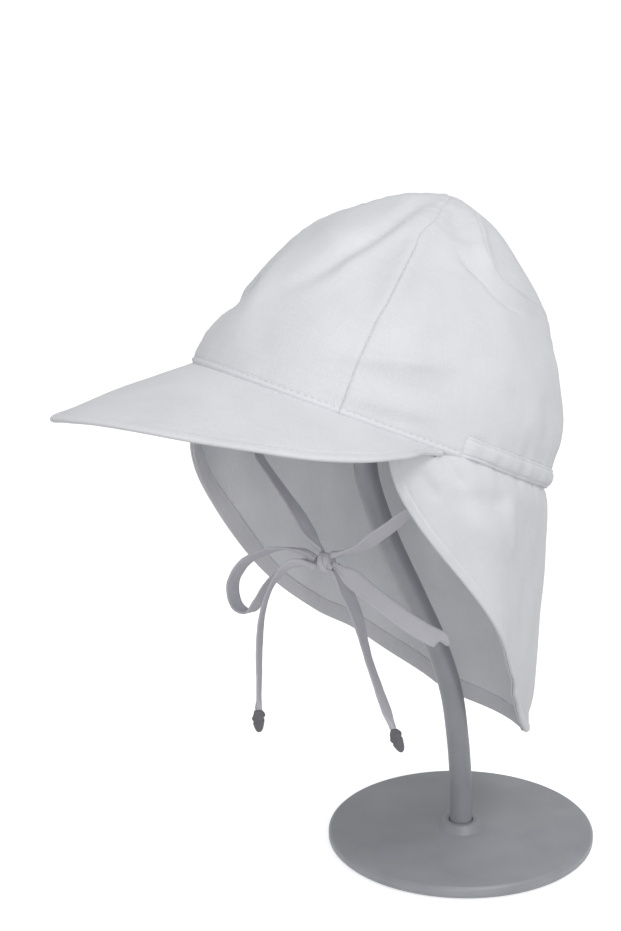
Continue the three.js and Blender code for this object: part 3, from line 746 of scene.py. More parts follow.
def seam_relief(points, names):
    total = np.zeros(points.shape[:-1])
    for seam_name in names:
        away, place = near_line(points, SEAM_LINES[seam_name])
        run = place * length_of(SEAM_LINES[seam_name])
        uneven = 0.72 + 0.28 * np.sin(run * 0.23 + 1.1 * np.sin(run * 0.07))
        groove = -GROOVE_DEPTH * uneven * bell(away, 0, 0.65)
        welt = WELT_HEIGHT * bell(away, 2.6, 1.7)
        ripple = np.sin(run * 0.78 + 1.3 * np.sin(run * 0.19)) + 0.5 * np.sin(run * 1.43 + 2)
        pucker = PUCKER * ripple * np.exp(-away / 4.5) * (1 - np.exp(-away / 0.9))
        total += groove + welt + pucker
    return total


def foot_relief(rise, side):
    """Turned and stitched lower edge of the crown: rise is the distance above it, along the cloth."""
    fold_in = -0.5 * bell(rise, 0, 0.55)
    welt = 0.32 * bell(rise, 1.3, 0.65)
    stitch = -0.3 * bell(rise, FOOT_STITCH, 0.5)
    return (fold_in + welt + stitch) * (1 - smooth_step(BAND_FROM - 2, BAND_FROM, side))


def crown_surface(angle, share, foot, seam_names):
    """Points and normals of the finished crown cloth."""
    smooth = folded_dome(angle, share)
    normal = dome_normal(angle, share)
    side = side_of(angle)
    height, radius = profile_at(share)
    rise = (share - foot) * PROFILE_LENGTH
    above = height * CROWN_HEIGHT - BAND_HEIGHT
    relief = crease_depth(smooth) * smooth_step(0, 12, rise) + seam_relief(smooth, seam_names)
    relief += foot_relief(rise, side)
    over_band = np.maximum(above, 0)
    pleats = GATHER_DEPTH * gathers(angle) * np.exp(-over_band / GATHER_REACH)
    relief += pleats * smooth_step(BAND_FROM, BAND_FROM + 10, side)
    relief -= band_pull(side) * bell(over_band, 0, PULL_REACH)
    behind = smooth_step(BAND_FROM - 0.2, BAND_FROM + 1.5, side) * smooth_step(0.5, -1.3, above)
    relief -= BEHIND_BAND * behind
    relief -= TOP_TUCK * smooth_step(0.06, 0.0, radius)
    return smooth + normal * relief[..., None], normal


PROFILE_LENGTH = length_of(profile_line * [CROWN_HEIGHT, RIM_MEAN])


def crown_foot(angle):
    """Share of the profile where the cloth starts: just under the peak's seam, or tucked behind the band."""
    rise = -FOOT_TUCK + (BAND_HEIGHT - 1.5) * smooth_step(BAND_FROM + 0.7, BAND_FROM + 5, side_of(angle))
    return rise / PROFILE_LENGTH * np.ones_like(angle)


# The place where the tips of the four panels are sewn together
top_ring, _ = crown_surface(np.arange(0, 360, 20.0)[None, :], np.ones((1, 18)), 0.0, list(SEAM_LINES))
CROWN_TOP = top_ring.mean(axis=(0, 1))


def build_panel(name, seam_from, seam_to):
    """One panel between two seams; its rows lie closer together along the stitched foot."""
    fine = np.arange(0, FOOT_REACH, FOOT_STEP)
    coarse = np.linspace(FOOT_REACH, PROFILE_LENGTH, int((PROFILE_LENGTH - FOOT_REACH) / CLOTH_STEP))
    seam_names = (seam_from, seam_to)
    seam_from, seam_to = SEAMS[seam_from], SEAMS[seam_to]
    if name == "crown_front":
        seam_from = lambda h: -seam_to(h)
    span = abs(seam_to(0.2) - seam_from(0.2))
    columns = int(math.radians(span) * RIM_MEAN / CLOTH_STEP)
    u = np.linspace(0, 1, columns)[None, :]
    v = (np.concatenate([fine, coarse]) / PROFILE_LENGTH)[:, None]
    middle = seam_from(0.0) + (seam_to(0.0) - seam_from(0.0)) * u
    foot = crown_foot(middle)
    share = foot + (1 - foot) * v
    height, radius = profile_at(share)
    angle = seam_from(height) + (seam_to(height) - seam_from(height)) * u
    outer, normal = crown_surface(angle, share, foot, seam_names)
    outer[-1] += TIP_CLOSING * (CROWN_TOP - outer[-1])
    inner = outer - normal * (CROWN_WALL - 0.2)
    along = np.radians(angle - angle[:, [columns // 2]]) * radius * RIM_MEAN
    uv = np.stack([along, share * PROFILE_LENGTH], axis=-1) * MM
    return shell("cap_" + name, outer, inner, uv)


PANELS = {
    "crown_front": ("front_right", "front_left"), "crown_left": ("front_left", "back_left"),
    "crown_back": ("back_left", "back_right"), "crown_right": ("back_right", "front_right"),
}
PIECES = {}
for panel_name, its_seams in PANELS.items():
    PIECES[panel_name] = build_panel(panel_name, *its_seams)
    print(panel_name, "has", len(PIECES[panel_name].data.polygons), "faces")

# %% [markdown]
# ## The peak
# The peak is two layers of cotton over a stiff leaf, so it keeps a clean curve and has a rounded edge. It
# could be cut from a bent sheet with a boolean, but a grid that runs from the crown's seam out to the edge
# lets the edge close into a roll and lets the line of stitching run parallel to it.

# %% Shape the peak
PEAK_CENTRE = 70.0
PEAK_RADIUS = 77.5
PEAK_THICK = 1.8
PEAK_DROP = 41.5
PEAK_SPREAD = 118.0
# Angle round the peak's centre and drop of its edge as a share of PEAK_DROP
PEAK_EDGE = [
    (-122, 0.024), (-98, 0.361), (-78, 0.699), (-58, 0.94), (-30, 1), (-15, 0.949), (0, 0.867),
    (13, 0.8), (33, 0.696), (49, 0.595), (64, 0.501), (80, 0.371), (98, 0.198), (122, 0.014),
]
PEAK_STITCH = 5.5
PEAK_TIP = 70.8
TIP_REACH = 1.006
PEAK_COLUMNS = 221
PEAK_ROWS = 74
FAR_TRIM = 3.0


def peak_surface(u, v):
    """Top face of the peak: u across it from -1 to 1, v from the crown's seam to the edge."""
    seam = np.radians(u * (PEAK_TIP - 0.6))
    round_edge = np.radians(u * PEAK_SPREAD)
    inside = 1 - CROWN_WALL / RIM_HALF_WIDTH
    across_in = RIM_HALF_WIDTH * inside * np.sin(seam)
    forward_in = RIM_HALF_LENGTH * inside * np.cos(seam)
    radius = PEAK_RADIUS - FAR_TRIM * smooth_step(-0.1, -0.45, u) * smooth_step(-1.0, -0.7, u)
    across_out = radius * np.sin(round_edge)
    forward_out = PEAK_CENTRE + radius * np.cos(round_edge)
    tip = smooth_step(0.92, 1.0, np.abs(u))
    at_tip = math.radians(PEAK_TIP)
    across_out = across_out + (TIP_REACH * RIM_HALF_WIDTH * math.sin(at_tip) * np.sign(u) - across_out) * tip
    forward_out = forward_out + (TIP_REACH * RIM_HALF_LENGTH * math.cos(at_tip) - forward_out) * tip
    drop = PEAK_DROP * read(PEAK_EDGE, u * PEAK_SPREAD) * (0.86 * v + 0.14 * v * v)
    return hat(across_in + (across_out - across_in) * v, forward_in + (forward_out - forward_in) * v, -drop)


def rounded(inset, reach, least):
    """Share of a cloth's thickness near its edge, which closes in a half round."""
    return np.sqrt(np.clip(1 - (1 - np.clip(inset / reach, 0, 1)) ** 2, least, 1))


def build_peak():
    u = np.linspace(-1, 1, PEAK_COLUMNS)[None, :]
    v = (1 - (1 - np.linspace(0, 1, PEAK_ROWS)) ** 1.5)[:, None]
    top = peak_surface(u, v)
    normal = -grid_normals(top)
    walked = walked_up(top)
    inset = walked[-1] - walked
    round_off = rounded(inset, 1.1, 0.004)
    middle = top - normal * PEAK_THICK / 2
    stitch = -0.2 * bell(inset, PEAK_STITCH, 0.55)
    puff = 0.2 * bell(inset, PEAK_STITCH / 2, 1.7)
    ripple = 0.09 * np.sin(2 * math.pi * u * 41 + 2 * np.sin(u * 9)) * bell(inset, PEAK_STITCH, 3.5)
    waves_here = soft_waves(top * 0.8, 0.3) * smooth_step(0, 10, inset) * smooth_step(0, 8, walked)
    relief = (stitch + puff + ripple)[..., None]
    half = (PEAK_THICK / 2 * round_off)[..., None]
    outer = middle + normal * (half + relief + waves_here[..., None])
    inner = middle - normal * (half + relief - waves_here[..., None])
    return shell("cap_peak", outer[::-1], inner[::-1], grid_uv(top[::-1]))


PIECES["peak"] = build_peak()
print("peak has", len(PIECES["peak"].data.polygons), "faces")

# %% [markdown]
# ## The gathered band
# Behind the peak an elastic runs in a narrow casing, which draws the cloth into fine upright pleats. The
# pleats aren't evenly spaced on the real cap, so their phase wanders. Two stitch lines hold the casing, and
# between them the cloth swells out.

# %% Shape the band
BAND_BULGE = 1.3
BAND_EASE = 0.006
BAND_COLUMNS = 620
BAND_ROWS = 34
BAND_SUNK = 2.0


def band_surface(angle, v):
    side = side_of(angle)
    full = smooth_step(BAND_FROM, BAND_FROM + 9, side)
    pleat = 0.42 * gathers(angle, 0.6) * (0.3 + 0.7 * np.sin(math.pi * v)) * (0.3 + 0.7 * full)
    lines = -0.42 * (bell(v, 0.15, 0.045) + bell(v, 0.86, 0.045))
    out = 0.35 + BAND_BULGE * (0.15 + 0.85 * full) * np.sin(math.pi * v) ** 0.8 + pleat + lines
    roll = 0.5 * (bell(v, 0, 0.04) + bell(1, v, 0.04))
    near_end = smooth_step(BAND_FROM + 2.6, BAND_FROM, side)
    a = np.radians(angle)
    reach = out - roll - near_end - band_pull(side)
    rise = BAND_HEIGHT * v + 0.25 * np.sin(13 * a + 2 * np.sin(5 * a)) * (1 - v)
    return hat((RIM_HALF_WIDTH + reach) * np.sin(a), (RIM_HALF_LENGTH + reach) * np.cos(a), rise)


def build_band():
    reach = np.linspace(0, 1, BAND_COLUMNS)
    spread = reach + BAND_EASE * np.sin(2 * math.pi * reach)
    angle = (BAND_FROM + (360 - 2 * BAND_FROM) * spread)[None, :]
    v = np.linspace(0, 1, BAND_ROWS)[:, None]
    outer = band_surface(angle, v)
    a = np.radians(angle)
    sunk = BAND_SUNK + band_pull(side_of(angle))
    inner = hat((RIM_HALF_WIDTH - sunk) * np.sin(a), (RIM_HALF_LENGTH - sunk) * np.cos(a), BAND_HEIGHT * v)
    return shell("cap_band", outer, inner, grid_uv(outer))


PIECES["back_band"] = build_band()
print("band is", BAND_HEIGHT, "mm high")

# %% [markdown]
# ## The neck flap
# The flap hangs from the band as one sheet, short in front of the ears and long behind. Cloth simulation
# could drape it, but the photograph already shows how it hangs, so its drape is written down: how much it
# slopes outwards, how full it is under the gathers, and where soft folds run down it. It ends in a turned
# hem, whose second layer shows inside as an 8 mm strip.

# %% Shape the flap
FLAP_LENGTH = 127.0
FLAP_THICK = 1.2
HEM_WIDTH = 8.0
HEM_EDGE = 4.0
FLAP_TUCK = 0.9
CURL_REACH = 11.0
FLAP_COLUMNS = 381
FLAP_ROWS = 100
# Angle from the front and drop of the hem as a share of FLAP_LENGTH
HEM_LINE = [
    (52.2, 0.063), (55, 0.173), (65, 0.315), (80, 0.48), (95, 0.685),
    (110, 0.756), (125, 0.768), (140, 0.811), (160, 0.902), (180, 1),
]
# Angle from the front, outward slope, and fullness under the band in mm
DRAPE = [
    (50, 0.17, -2.5), (65, 0.165, 2), (80, 0.15, 6.5), (95, 0.052, 2.8),
    (110, -0.04, 0.2), (130, -0.095, 0.5), (155, -0.045, 5.2), (180, 0.1, 4.7),
]
# Soft folds: angle, half width in degrees and depth inwards in mm
FLAP_FOLDS = [(-162, 8, 1.6), (-128, 8, -1.6), (-106, 7, 1.4), (-60, 11, -5), (74, 6, 1.2), (166, 8, 1.6)]
# Creases of the flap: a line of (angle, drop in mm), half width and depth in mm
FLAP_CREASES = [
    ([(68, -1), (71, 3), (74, 8), (78, 13)], 3.2, 2.2),
    ([(60, 11), (64, 16), (68, 22)], 3.2, 1.6),
    ([(70, 17), (78, 15.5), (86, 14.5), (96, 12)], 5.0, 1.8),
    ([(94, 8), (94, 22), (92, 40)], 5.0, -1.3),
    ([(74, 26), (82, 27), (92, 30)], 6.0, -0.8),
    ([(104, 6), (106, 22), (108, 44)], 6.0, 0.6),
    ([(110, 6), (112, 30), (112, 62)], 7.0, 0.9),
    ([(122, 30), (124, 56), (120, 84)], 7.0, -0.7),
    ([(136, 4), (140, 30), (146, 70)], 7.0, 0.8),
    ([(158, 20), (164, 60), (170, 104)], 9.0, -0.9),
    ([(-80, 6), (-86, 24), (-90, 46)], 6.0, 0.9),
    ([(-116, 8), (-120, 40), (-118, 76)], 8.0, 0.9),
    ([(-146, 10), (-150, 46), (-154, 90)], 8.0, -0.9),
    ([(176, 8), (178, 40), (182, 80)], 7.0, 0.7),
]
# How far the hem curls inwards on the wearer's left: angle and mm
HEM_CURL = [
    (82, 0.0), (94, 1.2), (104, 1.6), (114, 1.5), (124, 0.8), (131, 0.7), (138, 1.8), (145, 3.3), (151, 3.6),
    (158, 2.6), (165, 1.3), (175, 0.0),
]
# How much lower the hem hangs there: angle and mm
NEAR_SAG = [
    (72, 0), (80, 1.8), (86, 2.4), (92, 1.8), (99, 0.8), (109, 1.2), (119, 2.6),
    (129, 4.2), (139, 4.6), (149, 4.5), (159, 3.3), (172, 1.2), (180, 0),
]
RIM_STEP = math.pi * (RIM_HALF_LENGTH + RIM_HALF_WIDTH) / 360
even_rows = [(angle * RIM_STEP, drop * FLAP_LENGTH) for angle, drop in HEM_LINE]
near_angles = np.concatenate([[52.2, 55, 60], np.arange(66, 181, 6)])
hem_rows = [(a * RIM_STEP, read(HEM_LINE, a) * FLAP_LENGTH + read(NEAR_SAG, a)) for a in near_angles]
hem_rows += [(360 * RIM_STEP - x, drop) for x, drop in even_rows[-2::-1]]
hem_line, hem_share = even_line(hem_rows)


def on_hem(share):
    return np.stack([np.interp(share, hem_share, hem_line[:, k]) for k in range(2)], axis=-1)


def hem_at(share, inset=0.0):
    """Angle and drop of a place on the hem, or a distance inside it."""
    place = on_hem(share)
    ahead = unit(on_hem(share + 1e-3) - on_hem(share - 1e-3))
    return (place[..., 0] + ahead[..., 1] * inset) / RIM_STEP, place[..., 1] - ahead[..., 0] * inset


def flap_drape(angle, drop):
    a = np.radians(angle)
    side = side_of(angle)
    slope = read(DRAPE, side)
    fullness = read(DRAPE, side, 2)
    out = slope * drop + fullness * (1 - np.exp(-drop / 12)) - band_pull(side) * bell(drop, 0, 5.0)
    signed = np.where(angle > 180, angle - 360, angle)
    for middle, half_width, depth in FLAP_FOLDS:
        away = (signed - middle) / half_width
        out = out - depth * bell(away, 0, 1) * smooth_step(0.04, 0.63, drop / FLAP_LENGTH)
    low = np.interp(angle * RIM_STEP, hem_line[:, 0], hem_line[:, 1])
    out = out - read(HEM_CURL, angle) * bell(np.maximum(low - drop, 0), 0, CURL_REACH)
    rim = hat(RIM_HALF_WIDTH * np.sin(a), RIM_HALF_LENGTH * np.cos(a), np.zeros_like(out))
    return rim + np.stack([np.sin(a) * out, -np.cos(a) * out, -drop], axis=-1)


def drape_normal(angle, drop):
    """Outward direction of the draped cloth, steady also where the hem turns its corner."""
    along = flap_drape(angle + 0.3, drop) - flap_drape(angle - 0.3, drop)
    down = flap_drape(angle, drop + 0.3) - flap_drape(angle, drop - 0.3)
    return unit(np.cross(down, along))


flap_crease_lines = []
for places, half_width, depth in FLAP_CREASES:
    drawn = spline(places, 5)
    flap_crease_lines.append((flap_drape(drawn[:, 0] % 360, drawn[:, 1]), half_width, depth))
print("hem is", round(float(np.linalg.norm(np.diff(hem_line, axis=0), axis=1).sum())), "mm long, laid flat")

# %% Build the flap and its hem
HEM_COLUMNS = 460
HEM_INSETS = (0.35, 0.6, 1.2, 2.2, 3.4, 4.6, 5.8, 6.8, 7.4, 7.8, 8.0)
HEM_POINTS = flap_drape(*hem_at(np.linspace(0, 1, 260)))


def flap_relief(points, angle, drop, inset):
    calm = 0.25 + 0.75 * smooth_step(3, 20, inset)
    total = soft_waves(points * 0.85 + 31.0, 0.62) * smooth_step(0, 18, drop) * calm
    for line, half_width, depth in flap_crease_lines:
        away, place = near_line(points, line)
        ends = smooth_step(0, 0.3, place) * smooth_step(0, 0.3, 1 - place)
        total -= depth * ends * bell(away, 0, half_width) * calm
    pleats = 0.42 * gathers(angle, 0.6) * np.exp(-np.maximum(drop, 0) / GATHER_REACH)
    total += pleats * smooth_step(72, 84, side_of(angle))
    total -= 0.2 * bell(inset, HEM_EDGE, 0.5)
    total += 0.1 * np.sin(angle * 1.9 + 2 * np.sin(angle * 0.21)) * bell(inset, HEM_EDGE, 3)
    return total


def flap_top(side):
    lift = 1.9 * smooth_step(PEAK_TIP - 2.6, PEAK_TIP - 0.8, side)
    return GAP + 2 * PEAK_THICK * (1 - smooth_step(PEAK_TIP - 3.4, PEAK_TIP - 1.2, side)) - lift


def build_flap():
    share = np.linspace(0, 1, FLAP_COLUMNS)[None, :]
    v = (1 - (1 - np.linspace(0, 1, FLAP_ROWS)) ** 1.35)[:, None]
    angle, low = hem_at(share)
    top = flap_top(side_of(angle))
    drop = top + (low - top) * v
    angle = angle + 0 * v
    smooth = flap_drape(angle, np.maximum(drop, 0)) + np.maximum(-drop, 0)[..., None] * hat(0.0, 0.0, 1.0)
    normal = -grid_normals(smooth)
    inset, _ = near_line(smooth, HEM_POINTS)
    outer = smooth + normal * flap_relief(smooth, angle, drop, inset)[..., None]
    tuck = FLAP_TUCK * smooth_step(1.2, -0.6, drop) * smooth_step(PEAK_TIP - 4, PEAK_TIP - 2, side_of(angle))
    outer = outer - normal * tuck[..., None]
    round_off = rounded(inset, 0.9, 0.01)
    swell = 0.35 * smooth_step(HEM_EDGE + 0.2, HEM_EDGE - 0.9, inset)
    outer = outer + normal * (swell * round_off - 0.6 * (1 - round_off))[..., None]
    inner = outer - normal * (FLAP_THICK * round_off)[..., None]
    flap = shell("cap_neck_flap", outer[::-1], inner[::-1], grid_uv(outer[::-1]))
    kinds = np.zeros(len(flap.data.polygons), dtype=np.int32)
    flap.data.polygons.foreach_get("material_index", kinds)
    middle = (inset[:-1, :-1] + inset[1:, 1:])[::-1].ravel() / 2
    kinds[:len(middle)] = np.where(middle < HEM_EDGE, 2, 0)
    flap.data.polygons.foreach_set("material_index", kinds)
    return flap, outer


PIECES["neck_flap"], flap_outer = build_flap()


def build_hem():
    share = np.linspace(0.004, 0.996, HEM_COLUMNS)[None, :]
    inset = np.array(HEM_INSETS)[:, None]
    angle, drop = hem_at(share + 0 * inset, inset)
    smooth = flap_drape(angle, drop)
    normal = drape_normal(angle, drop)
    away, _ = near_line(smooth, HEM_POINTS)
    outer = smooth + normal * (flap_relief(smooth, angle, drop, away) - FLAP_THICK + 0.25)[..., None]
    edges = rounded(np.minimum(inset - 0.3, HEM_WIDTH + 0.05 - inset), 0.7, 0)
    wobble = 0.1 * np.sin(angle * 2.3) * bell(inset, 7.2, 1.5)
    stitch = -0.2 * bell(inset, 7.0, 0.4)
    inner = outer - normal * (0.2 + 0.75 * edges + wobble + stitch)[..., None]
    return shell("cap_hem", outer, inner, grid_uv(outer))


PIECES["flap_hem"] = build_hem()
print("hem strip is", HEM_WIDTH, "mm wide")

# %% [markdown]
# The flap is cut as wide as the rim it is gathered onto, flared towards the hem, and as long as its longest
# drop.
# Each piece of cloth takes the place of its imported node.

for node_name, piece in PIECES.items():
    hand_over(piece, node_name)
print("pieces of cloth:", len(PIECES))

# %% [markdown]
# ## The stand
# The stem is a round steel bar, bent in one plane, painted grey. It rises from a round base behind the cap,
# runs forward and up under the crown and ends in a shallow dome that carries the cap's top. The packed
# solids are right but faceted, so the same outlines are swept and turned again with enough steps to look
# round.

# %% Stem, base and rest
RIM_ABOVE_FLOOR = 212.0
STEM_RADIUS = 5.0
STEM_SIDES = 40
BASE_RADIUS = 60.0
BASE_THICK = 6.0
BASE_EDGE = 1.5
SOCKET_DEPTH = 4.0
SOCKET_WALL = 3.0
SOCKET_RISE = 84.3
REST_SHARE = 0.3
REST_CLEAR = 0.9
REST_RIM = 2.5
CORNER_EASE = 0.35
# Places behind and above the rim's centre, as shares of RIM_ABOVE_FLOOR
STEM_PATH = [
    (0.1807, 0.35), (0.1557, 0.3019), (0.0991, 0.217), (0.0377, 0.1321), (-0.0047, 0.0377),
    (-0.0175, -0.0769), (0.0307, -0.2193), (0.1288, -0.4094), (0.1821, -0.5137), (0.2325, -0.6425),
    (0.2557, -0.7642), (0.2651, -0.8491), (0.2689, -0.9245), (0.2689, -0.9656),
]


def build_stem():
    path = spline([(0.0, y * RIM_ABOVE_FLOOR, z * RIM_ABOVE_FLOOR) for y, z in STEM_PATH], 14)
    ahead = unit(np.gradient(path, axis=0))
    across = np.array([1.0, 0.0, 0.0])
    other = np.cross(ahead, across)
    a = np.linspace(0, 2 * math.pi, STEM_SIDES, endpoint=False)
    rows = np.concatenate([path[:1], path, path[-1:]])
    ends = np.concatenate([[0.9], np.ones(len(path)), [0.9]])
    ways = np.concatenate([other[:1], other, other[-1:]])
    rings = rows[:, None] + (ends[:, None, None] * STEM_RADIUS) * (
        np.cos(a)[None, :, None] * across + np.sin(a)[None, :, None] * ways[:, None]
    )
    uv = ring_uv(a * STEM_RADIUS * MM, walked_up(rows) * MM)
    faces = grid_faces(len(rings), STEM_SIDES, closed=True)
    return make_piece("stand_stem_bar", rings.reshape(-1, 3), faces, uv)


def turned(name, section, steps, place):
    """A turned form from a half section of (radius, height), its corners eased by a short bevel."""
    eased = [section[0]]
    for before, here, after in zip(section[:-2], section[1:-1], section[2:]):
        here = np.array(here)
        for other in (np.array(before), np.array(after)):
            reach = other - here
            size = np.linalg.norm(reach)
            eased.append(tuple(here + reach / size * min(CORNER_EASE, size / 3)))
    eased.append(section[-1])
    section = np.array(eased)
    a = np.linspace(0, 2 * math.pi, steps, endpoint=False)
    radius, height = section[:, :1], section[:, 1:]
    points = np.stack(np.broadcast_arrays(radius * np.cos(a), radius * np.sin(a), height), axis=-1)
    uv = ring_uv(a * radius.max() * MM, walked_up(section) * MM)
    return make_piece(name, place(points).reshape(-1, 3), grid_faces(len(section), steps, closed=True), uv)


ON_AXIS = 0.0002
hole = STEM_RADIUS + GAP
base_section = [
    (0.01, 0), (BASE_RADIUS - BASE_EDGE, 0), (BASE_RADIUS, BASE_EDGE), (BASE_RADIUS, BASE_THICK - BASE_EDGE),
    (BASE_RADIUS - BASE_EDGE, BASE_THICK), (hole + SOCKET_WALL + BASE_EDGE, BASE_THICK),
    (hole + SOCKET_WALL, BASE_THICK + SOCKET_DEPTH), (hole, BASE_THICK + SOCKET_DEPTH),
    (hole, BASE_THICK + GAP), (0.01, BASE_THICK + GAP),
]
base = turned("stand_round_base", base_section, 160, lambda p: p - RIM_CENTRE)
rest_top = []
for radius in np.linspace(REST_SHARE, 0, 11):
    height = profile_line[profile_line[:, 1] >= radius, 0][-1]
    rest_top.append((max(radius, ON_AXIS), CROWN_HEIGHT * height - CROWN_WALL - REST_CLEAR - 1.5 * radius))
rest_edge = rest_top[0][1]
socket_in = (hole + GAP) / RIM_HALF_WIDTH
socket_out = (hole + SOCKET_WALL) / RIM_HALF_WIDTH
rest_section = [
    (ON_AXIS, SOCKET_RISE), (socket_in, SOCKET_RISE), (socket_in, SOCKET_RISE - SOCKET_DEPTH),
    (socket_out, SOCKET_RISE - SOCKET_DEPTH), (socket_out, rest_edge - REST_RIM - 1),
    (REST_SHARE, rest_edge - REST_RIM),
] + rest_top
rest_section = [(r * RIM_HALF_WIDTH, z) for r, z in rest_section]
rest = turned("stand_top_rest", rest_section, 96,
              lambda p: hat(p[..., 0], p[..., 1] * RIM_HALF_LENGTH / RIM_HALF_WIDTH, p[..., 2]))
stem = build_stem()
hand_over(stem, "stand_stem")
hand_over(base, "stand_base")
hand_over(rest, "stand_rest")
print("stand height to the rest:", round(RIM_ABOVE_FLOOR + SOCKET_RISE * math.cos(TILT)), "mm")

# %% [markdown]
# ## Stitching
# Rows of thread hold the crown to the peak and edge the peak above and below. Thread painted in a bump map
# disappears at a low angle, so each stitch is a tiny rounded bar that dips into the cloth at both ends. A
# whole row is one mesh, because hundreds of separate objects would be slow and hard to move.

# %% Sew the rows of thread
THREAD_RADIUS = 0.24
STITCH_LENGTH = 2.1
STITCH_GAP = 0.9


def stitch_row(name, line, normals, lift):
    """Stitches along a line of points, each a short bar lying on the cloth."""
    walked = walked_up(line)
    count = int(walked[-1] / (STITCH_LENGTH + STITCH_GAP))
    pitch = walked[-1] / count
    across_steps, sides = 6, 8
    t = np.linspace(-1, 1, across_steps)
    a = np.linspace(0, 2 * math.pi, sides, endpoint=False)
    at = (np.arange(count) * pitch)[:, None] + STITCH_GAP / 2 + (t[None, :] + 1) / 2 * (pitch - STITCH_GAP)
    centre = np.stack([np.interp(at, walked, line[:, k]) for k in range(3)], axis=-1)
    up = unit(np.stack([np.interp(at, walked, normals[:, k]) for k in range(3)], axis=-1))
    ahead = unit(np.gradient(centre, axis=1))
    side = np.cross(ahead, up)
    size = THREAD_RADIUS * np.sqrt(np.maximum(1 - t**6, 0.05))
    centre = centre + up * (lift - 0.3 * t**4)[None, :, None]
    ring = (
        centre[:, :, None]
        + side[:, :, None] * (size[:, None] * np.cos(a)[None, :])[None, :, :, None]
        + up[:, :, None] * (size[:, None] * np.sin(a)[None, :] * 0.8)[None, :, :, None]
    )
    one = grid_faces(across_steps, sides, closed=True)
    faces = np.concatenate([one + k * across_steps * sides for k in range(count)])
    uv = np.stack(np.broadcast_arrays(a[None, None, :] * 0.2, at[:, :, None]), axis=-1) * MM
    return make_piece(name, ring.reshape(-1, 3), faces, uv.reshape(-1, 2)), count


def sew(name, line, normals, lift=0.0):
    piece, count = stitch_row(name, line, normals, lift)
    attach(piece, BODY)
    THREADS.append(piece)
    print(name, "has", count, "stitches")


THREADS = []
seam_angle = np.linspace(-BAND_FROM + 1.5, BAND_FROM - 1.5, 240)
foot_share = crown_foot(seam_angle)
row_share = foot_share + FOOT_STITCH / PROFILE_LENGTH
seam_line, seam_up = crown_surface(seam_angle[:, None], row_share[:, None], foot_share[:, None],
                                   ("front_left", "front_right"))
sew("cap_thread_peak_seam", seam_line[:, 0], seam_up[:, 0], lift=0.12)


def peak_edge_row(below):
    u = np.linspace(-0.985, 0.985, 420)[None, :]
    v = np.linspace(0, 1, 120)[:, None]
    top = peak_surface(u, v)
    normal = -grid_normals(top)
    walked = walked_up(top)
    chosen = np.argmin(np.abs(walked[-1] - walked - PEAK_STITCH), axis=0)
    columns = np.arange(top.shape[1])
    line = top[chosen, columns]
    up = normal[chosen, columns]
    line = line + soft_waves(line * 0.8, 0.3)[:, None] * up - up * 0.3
    keep = walked[-1] > PEAK_STITCH + 3
    if below:
        return (line - up * (PEAK_THICK - 0.6))[keep], -up[keep]
    return line[keep], up[keep]


sew("cap_thread_peak_edge", *peak_edge_row(below=False))
sew("cap_thread_peak_under", *peak_edge_row(below=True))
print("rows of thread:", len(THREADS))

# %% [markdown]
# ## Woven cotton
# Close to, the cloth is a plain weave: threads go over and under each other about every half millimetre,
# some a little thicker than others. Image textures could show that, but noise and sine nodes keep it sharp
# at any distance and need no files. The weave and the thick threads go into the bump, a faint mottle goes
# into the colour, and a soft sheen stands for the fuzz of the fibres.

# %% Build the cloth material
THREAD_PITCH = 0.00055
TAPE_PITCH = 0.0005
WEAVE_SHARE = 0.4
THREAD_TINT = 0.3


def node(tree, kind, inputs=None, **settings):
    """A shader node with its settings; each input is given a value or is linked to another node's output."""
    made = tree.nodes.new("ShaderNode" + kind)
    for key, value in settings.items():
        setattr(made, key, value)
    wire(tree, made, inputs or {})
    return made


def wire(tree, made, inputs):
    for key, value in inputs.items():
        if isinstance(value, bpy.types.NodeSocket):
            tree.links.new(value, made.inputs[key])
        else:
            made.inputs[key].default_value = value


def noise(tree, vector, scale, detail):
    return node(tree, "TexNoise", {"Vector": vector, "Scale": scale, "Detail": detail}).outputs["Fac"]


def blend(tree, share, low, dark, high, light):
    """A colour that runs from dark to light as the share runs from low to high."""
    made = node(tree, "ValToRGB", {"Fac": share})
    for stop, place, colour in zip(made.color_ramp.elements, (low, high), (dark, light)):
        stop.position = place
        stop.color = (*colour, 1)
    return made.outputs["Color"]


def bump(tree, height, strength, distance, over=None):
    inputs = {"Height": height, "Strength": strength, "Distance": distance}
    if over:
        inputs["Normal"] = over
    return node(tree, "Bump", inputs).outputs["Normal"]


def new_material(name):
    material = bpy.data.materials.new(name)
    material.use_nodes = True
    tree = material.node_tree
    return material, tree, tree.nodes["Principled BSDF"], node(tree, "TexCoord").outputs["Object"]


